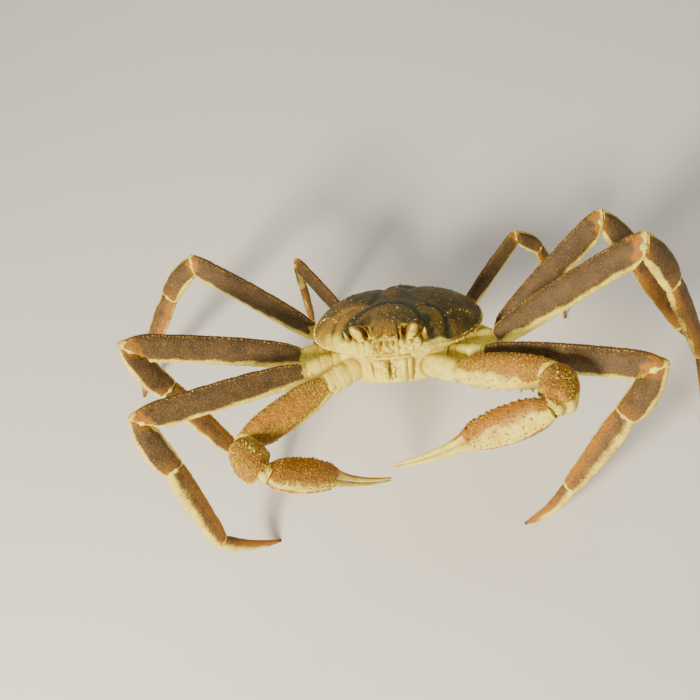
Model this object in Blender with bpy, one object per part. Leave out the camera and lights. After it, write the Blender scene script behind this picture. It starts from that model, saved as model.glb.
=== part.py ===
"""Snow crab: a large male standing on eight claw tips, with both claws folded in before its mouth.

The script works in millimetres in the crab's own frame: it faces -Y, its left side is at +X and
+Z is up through its back. Every piece hangs from one empty, the stance, which turns that frame
nose up over the floor and scales nothing. Meshes are written in metres.
"""
import math
import random
from collections import namedtuple

import bmesh
import bpy
from mathutils import Matrix, Vector

MM = 0.001
GAP = 0.3                  # between neighbouring pieces, which meet face to face
KEEP_CLEAR = 0.12          # share of its way to a joint that a limb's ring stays off the joint's plane

# Body, in millimetres
CARAPACE_WIDTH = 110.0
CARAPACE_MIDDLE = -2.0     # lengthwise place of the outline's middle
DOME_HEIGHT = 14.0         # of the back between its swollen regions
UNDERSIDE = -10.0          # level of the carapace's flat underside
THORAX_DEPTH = 19.0        # from the underside down to the breastplate
THORAX_SHOULDER = 2.8      # height over the breastplate at which the thorax starts to narrow
SOLE_SHARE = 0.86          # size of the breastplate's outline against the thorax's
COXA_LEVEL = -19.0         # height of the middle of the limb roots

# Swollen regions of the back: middle, spread to the side and lengthwise, height
REGIONS = (
    ("gastric", 0, -20, 15, 13, 2.8),
    ("hepatic", 30, -24, 8, 8, 2.2),
    ("branchial", 29, 10, 14, 18, 2.6),
    ("cardiac", 0, 12, 9, 9, 2.8),
    ("intestinal", 0, 33, 8, 6, 1.8),
)

# Stance over the floor
BODY_HEIGHT = 99.0         # of the frame's origin, at the middle of the carapace
NOSE_UP = 33.0             # degrees
LEAN_LEFT = 3.0            # degrees down towards the crab's left
FLOOR_SHIFT = (14.5, 23.1)  # puts the middle of the whole crab's box over the origin

# Corners of the thorax seen from above, left side, front to rear; a limb leaves each edge's middle
THORAX_CORNERS = ((16, -36), (32, -26), (38, -10), (40, 10), (34, 24), (22, 38))

PIECES = ("ischium", "merus", "carpus", "propodus", "dactylus")

# Each limb pair: lengths of the five pieces, width and thickness at the six joints from the body
# out, then the fullest width and thickness of each piece
Limb = namedtuple("Limb", "lengths joint_width joint_thickness full_width full_thickness")
WALKING = Limb((24, 107, 42, 68, 46), (14.5, 13, 17.5, 14.5, 10.2, 2.4), (12.5, 9, 9, 8.4, 6.4, 2.2),
               (15, 18.5, 17.5, 15.4, 9.6), (12.5, 9.6, 10, 8.8, 6.2))


def resized(limb, lengths, girth):
    """A limb like the given one with its own lengths, thinner or thicker except at its tip."""
    slim = [tuple(size * girth for size in row) for row in limb[1:]]
    for i in range(2):
        slim[i] = slim[i][:-1] + limb[i + 1][-1:]
    return Limb(lengths, *slim)


LIMBS = {
    1: Limb((20, 62, 30, 51.5, 54.5), (14.5, 14, 14, 12.5, 11, 1.4), (13, 12, 13, 10.5, 9, 1.4),
            (15.5, 21.5, 22, 22, 7), (14, 16, 22, 14.5, 7)),
    2: WALKING,
    3: resized(WALKING, (25, 111, 43, 71, 48), 1.0),
    4: resized(WALKING, (24, 100, 39, 62, 43), 0.92),
    5: resized(WALKING, (16, 60, 24, 38, 28), 0.62),
}

# Pose of each limb in degrees. Sweep is the heading of the first two pieces, 0 straight out and
# positive forward; turns are the further turns of the carpus and of what follows it; rises are the
# climbs of the pieces over the body's own level. A walking leg's last rise follows from the floor.
Pose = namedtuple("Pose", "sweep turns rises")
POSES = {
    "R1": Pose(33, (96, 102), (-17, -20, -17, -28, -30)),
    "R2": Pose(32, (17, -3), (-3, 0, -109, -108)),
    "R3": Pose(25, (34, -18), (2, 17, -119, -121)),
    "R4": Pose(-14, (-8, -2), (8, 29, -41, -54)),
    "R5": Pose(-39, (-41, -5), (13, 34, -56, -66)),
    "L1": Pose(27, (64, 100), (-4, 8, -14, -24, -18)),
    "L2": Pose(26, (17, -19), (8, 4, -122, -123)),
    "L3": Pose(17, (-69, -5), (11, 34, -48, -59)),
    "L4": Pose(-1, (-31, 8), (-11, 46, -52, -59)),
    "L5": Pose(-36, (-6, -12), (22, 42, -34, -62)),
}

# How each piece swells between its joints: where it is fullest, how flat the swelling is, how far
# its middle line bows outwards as a share of its length, and how many rings it is lofted through
Swell = namedtuple("Swell", "peak flatness bow rings")
SWELLS = {
    "ischium": Swell(0.5, 2.0, 0.0, 4),
    "merus": Swell(0.42, 5.0, 0.012, 8),
    "carpus": Swell(0.6, 2.2, 0.05, 6),
    "propodus": Swell(0.25, 2.0, 0.01, 6),
    "dactylus": Swell(0.12, 1.2, 0.06, 7),
}
LEG_SIDES = 12
INWARD_FLEX = 12.0         # degrees that a walking leg's claw tends to bend in from the piece above it

# Palm and fingers of a claw, in millimetres
PALM_WALL = 0.97           # share of the palm's length at which its flat end wall stands
WALL_HEIGHT = 16.4
WALL_THICKNESS = 10.0
PALM_SWELL = Swell(0.52, 2.6, 0.0, 6)
FINGER_RINGS = 8
FINGER_HEIGHT = 7.2
FINGER_THICKNESS = 7.0
FINGER_FLARE = 0.45        # share of a finger's taper that falls away straight after its root
FINGERTIP = 1.4            # height and thickness of a finger's blunt end
FINGER_SPREAD = 3.9        # each finger's root lies this far above or below the palm's middle
FINGER_BULGE = 0.3         # how far each finger bows away from the other
FINGER_SAG = 2.4           # how far both fingers bow down together
TIP_CLEARANCE = 0.3        # half the space between the two fingertips
CLAW_ELBOW_BULGE = 3.5     # how far a claw's carpus swells to the outside of its bend

# Rows of spines on the limbs: side of the piece (0 upper edge, 3 front, 6 lower edge, 9 back),
# first and last place as a share of the rings, number, length and width
SpineRow = namedtuple("SpineRow", "corner first last number length width")
LEG_SPINES = SpineRow(0, 0.2, 0.85, 6, 0.9, 1.9)
CLAW_SPINES = {
    "merus": (SpineRow(0, 0.2, 0.78, 6, 1.6, 2.4), SpineRow(5, 0.2, 0.78, 6, 2.2, 2.4)),
    "carpus": (SpineRow(0, 0.3, 0.75, 4, 1.6, 2.4), SpineRow(2, 0.3, 0.75, 4, 1.6, 2.4)),
    "palm": (SpineRow(0, 0.08, 0.32, 5, 1.5, 2.4), SpineRow(6, 0.08, 0.32, 5, 1.3, 2.4)),
}

# Beads along each side margin of the carapace, between these turns from straight ahead, in degrees
BEADS = 9
BEAD_START = 48.0
BEAD_END = 138.0
LOWEST_BEAD = 0.35         # how far under the margin the first bead stands, as a slope
BEAD_HEIGHT = 1.5
BEAD_WIDTH = 2.6

# Tubercles on the crests of the back: places along the middle line, then to each side
MIDDLE_TUBERCLES = (-30, -16, 8, 18, 33)
SIDE_TUBERCLES = ((9, -24), (17, -14), (28, 2), (30, 18), (22, 30))
TUBERCLE_HEIGHT = 1.3
TUBERCLE_WIDTH = 2.8

# Foot, tip, width and thickness of the left one of each pair of spines over the face
Horn = namedtuple("Horn", "foot tip width thickness")
ROSTRAL_HORN = Horn(Vector((3.2, -40, 6.5)), Vector((4.4, -54.5, 8.5)), 8.0, 5.0)
ORBITAL_SPINE = Horn(Vector((23, -34, 2.5)), Vector((25.0, -48.5, 7.0)), 8.0, 7.0)

# Head
EYE = Vector((14.4, -41.2, 3.6))       # foot of the stalk, on the floor of the orbit
ORBIT_PLACE = (13.6, -42.2)
ORBIT_RADIUS = 7.0
ORBIT_CUT = 30.0                       # depth of the cut, well past the top of the back
EYE_LENGTH = 13.5
EYE_SPLAY = 20.0                       # degrees outwards
ANTENNA = Vector((9.0, -41.8, 3.6))
ANTENNA_LENGTH = 24.0
ANTENNA_FOOT = 2.4                     # diameter of its jointed foot
ANTENNA_BEND = 75.0                    # degrees forward from upright at its tip
ANTENNA_RINGS = 9

COLOURS = {
    "carapace": "6B4E2A", "thorax": "D9C9A0", "abdomen": "CDB98C", "eye": "9A5A1E",
    "antenna": "A8703A", "maxilliped": "E3D6B4", "ischium": "E0D2AC", "merus": "96714A",
    "carpus": "A87440", "propodus": "A9713A", "dactylus": "B8742F",
}


def linear(hex_colour):
    """Linear colour with alpha from a display hex colour."""
    channels = [int(hex_colour[i:i + 2], 16) / 255 for i in (0, 2, 4)]
    return [c / 12.92 if c <= 0.04045 else ((c + 0.055) / 1.055) ** 2.4 for c in channels] + [1.0]


def material_of(kind):
    """The shell material of one kind of piece."""
    material = bpy.data.materials.get(kind)
    if material is None:
        material = bpy.data.materials.new(kind)
        material.use_nodes = True
        shader = material.node_tree.nodes["Principled BSDF"]
        shader.inputs["Base Color"].default_value = linear(COLOURS[kind])
        shader.inputs["Roughness"].default_value = 0.2 if kind == "eye" else 0.5
        shader.inputs["Metallic"].default_value = 0.0
    return material


def clear_scene():
    for thing in list(bpy.data.objects):
        bpy.data.objects.remove(thing, do_unlink=True)


def new_collection(name):
    collection = bpy.data.collections.new(name)
    bpy.context.scene.collection.children.link(collection)
    return collection


def add_object(name, bm, kind, crab, place=Vector((0, 0, 0))):
    """Turn a bmesh in millimetres about its place into an object that hangs from the stance."""
    bmesh.ops.translate(bm, verts=bm.verts, vec=-place)
    bmesh.ops.scale(bm, verts=bm.verts, vec=(MM, MM, MM))
    bmesh.ops.recalc_face_normals(bm, faces=bm.faces)
    mesh = bpy.data.meshes.new(name)
    bm.to_mesh(mesh)
    bm.free()
    mesh.materials.append(material_of(kind))
    mesh.shade_smooth()
    mesh.set_sharp_from_angle(angle=math.radians(40))
    thing = bpy.data.objects.new(name, mesh)
    thing.location = place * MM
    thing.parent = crab.stance
    crab.collection.objects.link(thing)
    return thing


def ring(centre, wide, thin, width, thickness, sides=LEG_SIDES, squareness=2.2):
    """Points round a rounded oval that spans width along wide and thickness along thin."""
    points = []
    for i in range(sides):
        turn = 2 * math.pi * i / sides
        across = math.copysign(abs(math.cos(turn)) ** (2 / squareness), math.cos(turn))
        through = math.copysign(abs(math.sin(turn)) ** (2 / squareness), math.sin(turn))
        points.append(centre + wide * (across * width / 2) + thin * (through * thickness / 2))
    return points


def loft(rings):
    """A closed bmesh through rings with the same number of points, capped at both ends."""
    bm = bmesh.new()
    rows = [[bm.verts.new(point) for point in points] for points in rings]
    sides = len(rows[0])
    for near, far in zip(rows, rows[1:]):
        for i in range(sides):
            j = (i + 1) % sides
            bm.faces.new((near[i], near[j], far[j], far[i]))
    bm.faces.new(rows[0])
    bm.faces.new(rows[-1])
    return bm


# Limbs

Frame = namedtuple("Frame", "along wide thin")
Joint = namedtuple("Joint", "point normal wide thin width thickness")


def aim(side, sweep, rise):
    """Frame of a limb piece: its direction, the way it is wide and the way it is thin."""
    heading = math.atan2(-math.sin(math.radians(sweep)), side * math.cos(math.radians(sweep)))
    climb = math.radians(rise)
    out = Vector((math.cos(heading), math.sin(heading), 0))
    up = Vector((0, 0, 1))
    along = out * math.cos(climb) + up * math.sin(climb)
    wide = up * math.cos(climb) - out * math.sin(climb)
    return Frame(along, wide, along.cross(wide))


def stance_turn():
    """Rotation from the crab's frame to the floor's."""
    lean = Matrix.Rotation(math.radians(LEAN_LEFT), 3, "Y")
    pitch = Matrix.Rotation(math.radians(-NOSE_UP), 3, "X")
    return lean @ pitch


def height_over_floor(point):
    return (stance_turn() @ point).z + BODY_HEIGHT


def rise_to_floor(side, sweep, start, length, near):
    """Rise that brings the end of a piece down to the floor, of the two the one closest to near."""
    level = aim(side, sweep, 0).along
    upright = Vector((0, 0, 1))
    turn = stance_turn()
    reach, climb = (turn @ level).z, (turn @ upright).z
    drop = -height_over_floor(start) / length / math.hypot(reach, climb)
    if abs(drop) > 1:
        raise ValueError(f"the claw tip of {length} mm doesn't reach the floor from {start}")
    middle, spread = math.degrees(math.atan2(climb, reach)), math.degrees(math.acos(drop))
    rises = [(middle + way * spread + 180) % 360 - 180 for way in (-1, 1)]
    rises += [rise - 360 for rise in rises]
    return min(rises, key=lambda rise: abs(rise - near))


def root_of(side, number):
    """Middle and outward normal of the thorax edge that a limb leaves."""
    front, rear = (Vector((side * x, y, COXA_LEVEL)) for x, y in THORAX_CORNERS[number - 1:number + 1])
    edge = rear - front
    normal = Vector((edge.y, -edge.x, 0)).normalized() * side
    return (front + rear) / 2, normal


def limb_frames(side, number, pose):
    """Joint points and piece frames of a limb, from the body out."""
    limb = LIMBS[number]
    point, normal = root_of(side, number)
    sweeps = [pose.sweep, pose.sweep, pose.sweep + pose.turns[0]] + [pose.sweep + sum(pose.turns)] * 2
    points, frames = [point], []
    for i, length in enumerate(limb.lengths):
        if i < len(pose.rises):
            rise = pose.rises[i]
        else:
            rise = rise_to_floor(side, sweeps[i], points[-1], length, pose.rises[-1] - INWARD_FLEX)
        frames.append(aim(side, sweeps[i], rise))
        points.append(points[-1] + frames[-1].along * length)
    return points, frames, normal


def joint_between(point, normal, wide, thin_hint, width, thickness):
    thin = (thin_hint - normal * thin_hint.dot(normal)).normalized()
    wide_here = thin.cross(normal)
    if wide_here.dot(wide) < 0:
        wide_here, thin = -wide_here, -thin
    return Joint(point, normal, wide_here, thin, width, thickness)


def limb_joints(side, number, pose):
    """The six joints of a limb; the last is the claw tip, flat on the floor for a walking leg."""
    limb = LIMBS[number]
    points, frames, root_normal = limb_frames(side, number, pose)
    joints = []
    for i, point in enumerate(points):
        before, after = frames[max(i - 1, 0)], frames[min(i, len(frames) - 1)]
        normal = (before.along + after.along).normalized()
        if i == 0:
            normal = root_normal
        if i == len(points) - 1 and number > 1:
            normal = stance_turn().inverted() @ Vector((0, 0, -1))
        joints.append(joint_between(point, normal, before.wide + after.wide, before.thin + after.thin,
                                    limb.joint_width[i], limb.joint_thickness[i]))
    return joints, frames


def swelling(share, swell):
    """0 at both ends of a piece and 1 where it is fullest."""
    reach = swell.peak if share < swell.peak else 1 - swell.peak
    return 1 - (abs(share - swell.peak) / reach) ** swell.flatness


def kept_between(points, centre, start, end):
    """A ring's points, drawn in towards its centre where they would cross a joint's plane."""
    kept = []
    for point in points:
        for joint, way in ((start, -1), (end, 1)):
            room = (joint.point - centre).dot(joint.normal) * way
            room -= GAP / 2 + KEEP_CLEAR * (joint.point - centre).length
            reach = (point - centre).dot(joint.normal) * way
            if reach > room:
                point = centre + (point - centre) * (room / reach)
        kept.append(point)
    return kept


def end_ring(joint, way, squareness=2.2):
    """Ring in a joint's plane, half a gap to the side that way names."""
    return ring(joint.point + joint.normal * (way * GAP / 2), joint.wide, joint.thin,
                joint.width, joint.thickness, LEG_SIDES, squareness)


def piece_rings(start, end, frame, width, thickness, swell, first_way=1, last_way=-1, bulge=0.0):
    """Rings of a limb piece between two joints, closest together near its ends.

    The bulge carries the middle of the piece that many millimetres along the way it is thin.
    """
    rings = [end_ring(start, first_way)]
    for i in range(1, swell.rings):
        share = 0.5 - 0.5 * math.cos(math.pi * i / swell.rings)
        full = swelling(share, swell)
        here_width = start.width + (end.width - start.width) * share
        here_width += (width - here_width) * full
        here_thickness = start.thickness + (end.thickness - start.thickness) * share
        here_thickness += (thickness - here_thickness) * full
        centre = start.point.lerp(end.point, share)
        arch = 4 * share * (1 - share)
        centre += frame.wide * (swell.bow * (end.point - start.point).length * arch)
        centre += frame.thin * (bulge * arch)
        points = ring(centre, frame.wide, frame.thin, here_width, here_thickness)
        rings.append(kept_between(points, centre, start, end))
    rings.append(end_ring(end, last_way))
    return rings


def build_walking_leg(side, number, crab):
    letter = "L" if side > 0 else "R"
    limb = LIMBS[number]
    joints, frames = limb_joints(side, number, POSES[f"{letter}{number}"])
    for i, piece in enumerate(PIECES):
        first_way = 2 if i == 0 else 1
        last_way = 0 if i == len(PIECES) - 1 else -1
        rings = piece_rings(joints[i], joints[i + 1], frames[i], limb.full_width[i],
                            limb.full_thickness[i], SWELLS[piece], first_way, last_way)
        shell = add_object(f"leg_{letter}{number}_{piece}", loft(rings), piece, crab, joints[i].point)
        if piece == "merus" and number < 5:
            fuse(shell, spine_row(rings, LEG_SPINES), crab)
            keep_largest(shell)


def palm_rings(start, wall, frame, limb):
    """Rings of a palm up to its flat end wall, then of the fixed finger below it."""
    rings = piece_rings(start, wall, frame, limb.full_width[3], limb.full_thickness[3], PALM_SWELL, 1, 0)
    return rings + finger_rings(wall, frame, limb.lengths[4], -1, 0.0)


def finger_rings(wall, frame, length, way, lift):
    """Rings of a finger that leaves the end wall above (way 1) or below (way -1) its middle."""
    rings = []
    for i in range(FINGER_RINGS + 1):
        share = i / FINGER_RINGS
        arch = 4 * share * (1 - share)
        taper = FINGER_FLARE * (1 - share) ** 8 + (1 - FINGER_FLARE) * (1 - share)
        height = FINGERTIP + (FINGER_HEIGHT - FINGERTIP) * taper
        thickness = FINGERTIP + (FINGER_THICKNESS - FINGERTIP) * taper
        inner_edge = (FINGER_SPREAD - FINGER_HEIGHT / 2) * (1 - share) + TIP_CLEARANCE * share
        centre = wall.point + wall.normal * lift * (i == 0) + frame.along * (length * share)
        centre += frame.wide * (way * (inner_edge + height / 2 + FINGER_BULGE * arch) - FINGER_SAG * arch)
        rings.append(ring(centre, frame.wide, frame.thin, height, thickness))
    return rings


def cone(foot, tip, width, thickness, sides=6):
    """A pointed spine from its foot to its tip, with its foot flattened to a width and thickness."""
    bm = bmesh.new()
    along = tip - foot
    bmesh.ops.create_cone(bm, cap_ends=True, segments=sides, radius1=0.5, radius2=0.0, depth=1.0)
    bmesh.ops.translate(bm, verts=bm.verts, vec=(0, 0, 0.5))
    turn = along.to_track_quat("Z", "Y").to_matrix().to_4x4()
    scale = Matrix.Diagonal((width, thickness, along.length, 1))
    bmesh.ops.transform(bm, matrix=Matrix.Translation(foot) @ turn @ scale, verts=bm.verts)
    return bm


def spine(point, outward, along, length, width):
    """A short five-sided spine on a surface, its root sunk in and its tip leaning forward."""
    foot = point - outward * (width * 0.8)
    tip = point + outward * length + along * (length * 0.35)
    return cone(foot, tip, width * 1.25, width * 1.25, sides=5)


def spine_row(rings, row):
    """Spines along one side of a lofted piece, on the lines between its rings' points."""
    spines = []
    for i in range(row.number):
        share = row.first + (row.last - row.first) * i / (row.number - 1)
        place = share * (len(rings) - 1)
        near, rest = rings[int(place)], place - int(place)
        far = rings[int(place) + 1]
        point = near[row.corner].lerp(far[row.corner], rest)
        middles = [sum(points, Vector()) / len(points) for points in (near, far)]
        outward = (point - middles[0].lerp(middles[1], rest)).normalized()
        along = (middles[1] - middles[0]).normalized()
        length = row.length * random.uniform(0.85, 1.15)
        spines.append(spine(point, outward, along, length, row.width))
    return spines


def build_claw_leg(side, crab):
    letter = "L" if side > 0 else "R"
    limb = LIMBS[1]
    joints, frames = limb_joints(side, 1, POSES[f"{letter}1"])
    for i, piece in enumerate(PIECES[:3]):
        first_way = 2 if i == 0 else 1
        bulge = -side * CLAW_ELBOW_BULGE if piece == "carpus" else 0.0
        rings = piece_rings(joints[i], joints[i + 1], frames[i], limb.full_width[i],
                            limb.full_thickness[i], SWELLS[piece], first_way, -1, bulge)
        shell = add_object(f"claw_{letter}_{piece}", loft(rings), piece, crab, joints[i].point)
        spines = [thing for row in CLAW_SPINES.get(piece, ()) for thing in spine_row(rings, row)]
        if spines:
            fuse(shell, spines, crab)
            keep_largest(shell)
    frame = frames[3]
    wall_point = joints[3].point + frame.along * (limb.lengths[3] * PALM_WALL)
    wall = Joint(wall_point, frame.along, frame.wide, frame.thin, WALL_HEIGHT, WALL_THICKNESS)
    rings = palm_rings(joints[3], wall, frame, limb)
    palm = add_object(f"claw_{letter}_palm", loft(rings), "propodus", crab, joints[3].point)
    fuse(palm, [thing for row in CLAW_SPINES["palm"] for thing in spine_row(rings, row)], crab)
    keep_largest(palm)
    finger = loft(finger_rings(wall, frame, limb.lengths[4], 1, GAP))
    add_object(f"claw_{letter}_finger", finger, "dactylus", crab, wall_point)


# Body

def outline_radius(turn):
    """Distance from the carapace's middle to its margin, at a turn from straight ahead."""
    pear = 50.75 - 3.9 * math.cos(turn) - 3.25 * math.cos(2 * turn) + 1.4 * math.cos(3 * turn)
    return pear * CARAPACE_WIDTH / 110.0


def relief(x, y):
    """Height that the swollen regions add to the back."""
    height = 0.0
    for _, across, lengthwise, spread_x, spread_y, rise in REGIONS:
        away = ((abs(x) - across) / spread_x) ** 2 + ((y - lengthwise) / spread_y) ** 2
        height += rise * math.exp(-away)
    return height


def margin_level(turn):
    """Height of the carapace's edge: highest in front, lowest beside the middle of the back."""
    return -2.55 - 0.71 * math.cos(turn) + 2.69 * math.cos(2 * turn) + 1.12 * math.cos(3 * turn)


def carapace_point(direction):
    """Where a point of the unit sphere lies on the carapace."""
    turn = math.atan2(direction.x, -direction.y)
    drop = math.acos(max(-1.0, min(1.0, direction.z)))
    radius, edge = outline_radius(turn), margin_level(turn)
    if drop <= math.pi / 2:
        share = math.sin(drop)
        squareness = 3.4 + 1.2 * math.cos(turn) + 0.4 * math.cos(2 * turn)
        height = (1 - share ** squareness) ** 0.75
        x, y = share * radius * math.sin(turn), CARAPACE_MIDDLE - share * radius * math.cos(turn)
        z = edge + (DOME_HEIGHT - edge) * height + relief(x, y) * height ** 0.5
        return Vector((x, y, z))
    tuck = min(1.0, (drop / (math.pi / 2) - 1) / 0.45)
    inner = max(0.0, (drop / (math.pi / 2) - 1.45) / 0.55)
    share = (1 - (0.19 - 0.05 * math.cos(turn)) * tuck ** 1.5) * (1 - inner)
    z = edge + (UNDERSIDE - edge) * tuck
    return Vector((share * radius * math.sin(turn), CARAPACE_MIDDLE - share * radius * math.cos(turn), z))


def build_carapace(crab):
    bm = bmesh.new()
    bmesh.ops.create_uvsphere(bm, u_segments=36, v_segments=22, radius=1.0)
    for vert in bm.verts:
        vert.co = carapace_point(vert.co.normalized())
    flat = [f for f in bm.faces if all(abs(v.co.z - UNDERSIDE) < 1e-4 for v in f.verts)]
    bmesh.ops.dissolve_faces(bm, faces=flat)
    shell = add_object("carapace", bm, "carapace", crab)
    shapes = [face_horn(horn, side) for side in (-1, 1) for horn in (ROSTRAL_HORN, ORBITAL_SPINE)]
    shapes += margin_beads() + back_tubercles()
    fuse(shell, shapes, crab)
    for side in (-1, 1):
        cut_orbit(shell, side, crab)
    keep_largest(shell)


def back_surface(x, y):
    """Point of the back over a place in plan."""
    away = Vector((x, y - CARAPACE_MIDDLE, 0))
    turn = math.atan2(away.x, -away.y)
    share = min(1.0, away.length / outline_radius(turn))
    climb = math.sqrt(max(0.0, 1 - share ** 2))
    return carapace_point(Vector((share * math.sin(turn), -share * math.cos(turn), climb)))


def back_outward(x, y):
    """The way out of the shell at a place of the back."""
    step = 1.0
    point = back_surface(x, y)
    return (back_surface(x + step, y) - point).cross(back_surface(x, y + step) - point).normalized()


def margin_beads():
    """Row of beads along each side's margin; its front half runs down under the cheek."""
    beads = []
    for side in (-1, 1):
        for i in range(BEADS):
            turn = side * math.radians(BEAD_START + (BEAD_END - BEAD_START) * i / (BEADS - 1))
            out = Vector((math.sin(turn), -math.cos(turn), 0.25)).normalized()
            drop = max(0.0, 1 - i / (BEADS // 2))
            level = 0.1 - (0.1 + LOWEST_BEAD) * drop
            point = carapace_point(Vector((math.sin(turn), -math.cos(turn), level)).normalized())
            height = BEAD_HEIGHT * random.uniform(0.8, 1.2)
            beads.append(spine(point, out, Vector((0, -1, 0)), height, BEAD_WIDTH))
    return beads


def back_tubercles():
    """Larger tubercles of the back, on the crests of its swollen regions."""
    tubercles = []
    places = [(0, y) for y in MIDDLE_TUBERCLES]
    places += [(side * x, y) for side in (-1, 1) for x, y in SIDE_TUBERCLES]
    for x, y in places:
        height = TUBERCLE_HEIGHT * random.uniform(0.8, 1.2)
        tubercles.append(spine(back_surface(x, y), back_outward(x, y), Vector((0, -1, 0)), height,
                               TUBERCLE_WIDTH))
    return tubercles


def face_horn(horn, side):
    """One of a pair of spines over the face; side -1 mirrors it to the right."""
    mirror = Vector((side, 1, 1))
    return cone(horn.foot * mirror, horn.tip * mirror, horn.width, horn.thickness)


def helper(bm, crab):
    """A scaled copy of a shape in the helpers' collection, hidden from renders."""
    bmesh.ops.scale(bm, verts=bm.verts, vec=(MM, MM, MM))
    bmesh.ops.recalc_face_normals(bm, faces=bm.faces)
    mesh = bpy.data.meshes.new("helper")
    bm.to_mesh(mesh)
    bm.free()
    thing = bpy.data.objects.new("helper", mesh)
    thing.parent = crab.stance
    thing.hide_render = True
    thing.display_type = "WIRE"
    crab.helpers.objects.link(thing)
    return thing


def apply_boolean(target, operation, crab):
    """Run one exact Boolean of the helpers' collection on an object, then drop the helpers."""
    boolean = target.modifiers.new(operation, "BOOLEAN")
    boolean.operation = operation
    boolean.operand_type = "COLLECTION"
    boolean.collection = crab.helpers
    boolean.solver = "EXACT"
    bpy.context.view_layer.update()
    view = bpy.context.evaluated_depsgraph_get()
    mesh = bpy.data.meshes.new_from_object(target.evaluated_get(view))
    target.modifiers.clear()
    old = target.data
    target.data = mesh
    mesh.name = target.name
    bpy.data.meshes.remove(old)
    for thing in list(crab.helpers.objects):
        bpy.data.objects.remove(thing, do_unlink=True)


def fuse(target, shapes, crab):
    for bm in shapes:
        helper(bm, crab)
    apply_boolean(target, "UNION", crab)


def cut_orbit(shell, side, crab):
    """Open one orbit down to its flat floor, where the eye and the antenna stand."""
    bm = bmesh.new()
    bmesh.ops.create_cone(bm, cap_ends=True, segments=20, radius1=ORBIT_RADIUS,
                          radius2=ORBIT_RADIUS, depth=ORBIT_CUT)
    middle = Vector((side * ORBIT_PLACE[0], ORBIT_PLACE[1], EYE.z + ORBIT_CUT / 2))
    bmesh.ops.translate(bm, verts=bm.verts, vec=middle)
    helper(bm, crab)
    apply_boolean(shell, "DIFFERENCE", crab)


def keep_largest(target):
    """Drop everything but the largest closed surface of an object's mesh."""
    bm = bmesh.new()
    bm.from_mesh(target.data)
    unseen, islands = set(bm.faces), []
    while unseen:
        front = [unseen.pop()]
        island = list(front)
        while front:
            face = front.pop()
            for edge in face.edges:
                for other in edge.link_faces:
                    if other in unseen:
                        unseen.remove(other)
                        island.append(other)
                        front.append(other)
        islands.append(island)
    islands.sort(key=lambda faces: sum(face.calc_area() for face in faces))
    scraps = [face for island in islands[:-1] for face in island]
    bmesh.ops.delete(bm, geom=scraps, context="FACES")
    bm.to_mesh(target.data)
    bm.free()


def build_thorax(crab):
    """Breast of the crab: a drum with one flat edge for each limb, narrowed below."""
    top = UNDERSIDE - GAP
    sole = top - THORAX_DEPTH
    shoulder = sole + THORAX_SHOULDER
    corners = [Vector((x, y, 0)) for x, y in THORAX_CORNERS]
    corners += [Vector((-x, y, 0)) for x, y in reversed(THORAX_CORNERS)]
    rings = [[c + Vector((0, 0, top)) for c in corners], [c + Vector((0, 0, shoulder)) for c in corners],
             [c * SOLE_SHARE + Vector((0, 0, sole)) for c in corners]]
    add_object("thorax", loft(rings), "thorax", crab)


def build_abdomen(crab):
    """The narrow tail flap, down the rear of the thorax and forward under the breastplate."""
    rear, sole = THORAX_CORNERS[-1][1] + GAP, UNDERSIDE - GAP - THORAX_DEPTH - GAP
    thick = 3.4
    # Inner and outer edge (lengthwise, height) and half the width, from the rear edge forward
    stations = (
        ((rear, -12.0), (rear + thick, -13.5), 10.5),
        ((rear, -19.0), (rear + thick, -19.0), 11.0),
        ((rear + 0.1, sole + 2.7), (rear + thick, sole + 1.8), 10.5),
        ((rear - 5.3, sole - 0.1), (rear - 3.0, sole - thick), 10.0),
        ((18.0, sole - 0.1), (18.0, sole - thick), 8.6),
        ((2.0, sole - 0.1), (2.0, sole - thick), 6.8),
        ((-12.0, sole - 0.1), (-12.0, sole - thick + 0.4), 4.6),
        ((-18.0, sole - 0.1), (-17.0, sole - thick + 1.2), 2.4),
    )
    rings = []
    for (inner_y, inner_z), (outer_y, outer_z), half in stations:
        inner, outer = Vector((0, inner_y, inner_z)), Vector((0, outer_y, outer_z))
        side = Vector((1, 0, 0))
        rings.append([inner + side * half, inner.lerp(outer, 0.55) + side * (half + 0.8),
                      outer + side * half * 0.7, outer + (outer - inner) * 0.15,
                      outer - side * half * 0.7, inner.lerp(outer, 0.55) - side * (half + 0.8),
                      inner - side * half])
    add_object("abdomen", loft(rings), "abdomen", crab)


def build_eye(side, crab):
    """A short stalk that swells into the rounded eye, standing in its orbit."""
    # Distance up the stalk as a share of its length, and radius
    profile = ((0.0, 3.0), (0.12, 3.2), (0.3, 2.9), (0.42, 3.1), (0.52, 3.8), (0.64, 4.3),
               (0.76, 4.2), (0.87, 3.5), (0.95, 2.3), (1.0, 0.9))
    foot = Vector((side * EYE.x, EYE.y, EYE.z + GAP))
    splay = math.radians(EYE_SPLAY)
    axis = Vector((side * math.sin(splay), -0.12, math.cos(splay))).normalized()
    rings = []
    for share, radius in profile:
        upright = Vector((0, 0, 1)) if share == 0 else axis
        thin = upright.cross(Vector((1, 0, 0))).normalized()
        centre = foot + axis * (EYE_LENGTH * share)
        rings.append(ring(centre, thin.cross(upright), thin, 2 * radius, 2 * radius, 12, 2.0))
    letter = "L" if side > 0 else "R"
    add_object(f"eye_{letter}", loft(rings), "eye", crab, foot)


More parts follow.
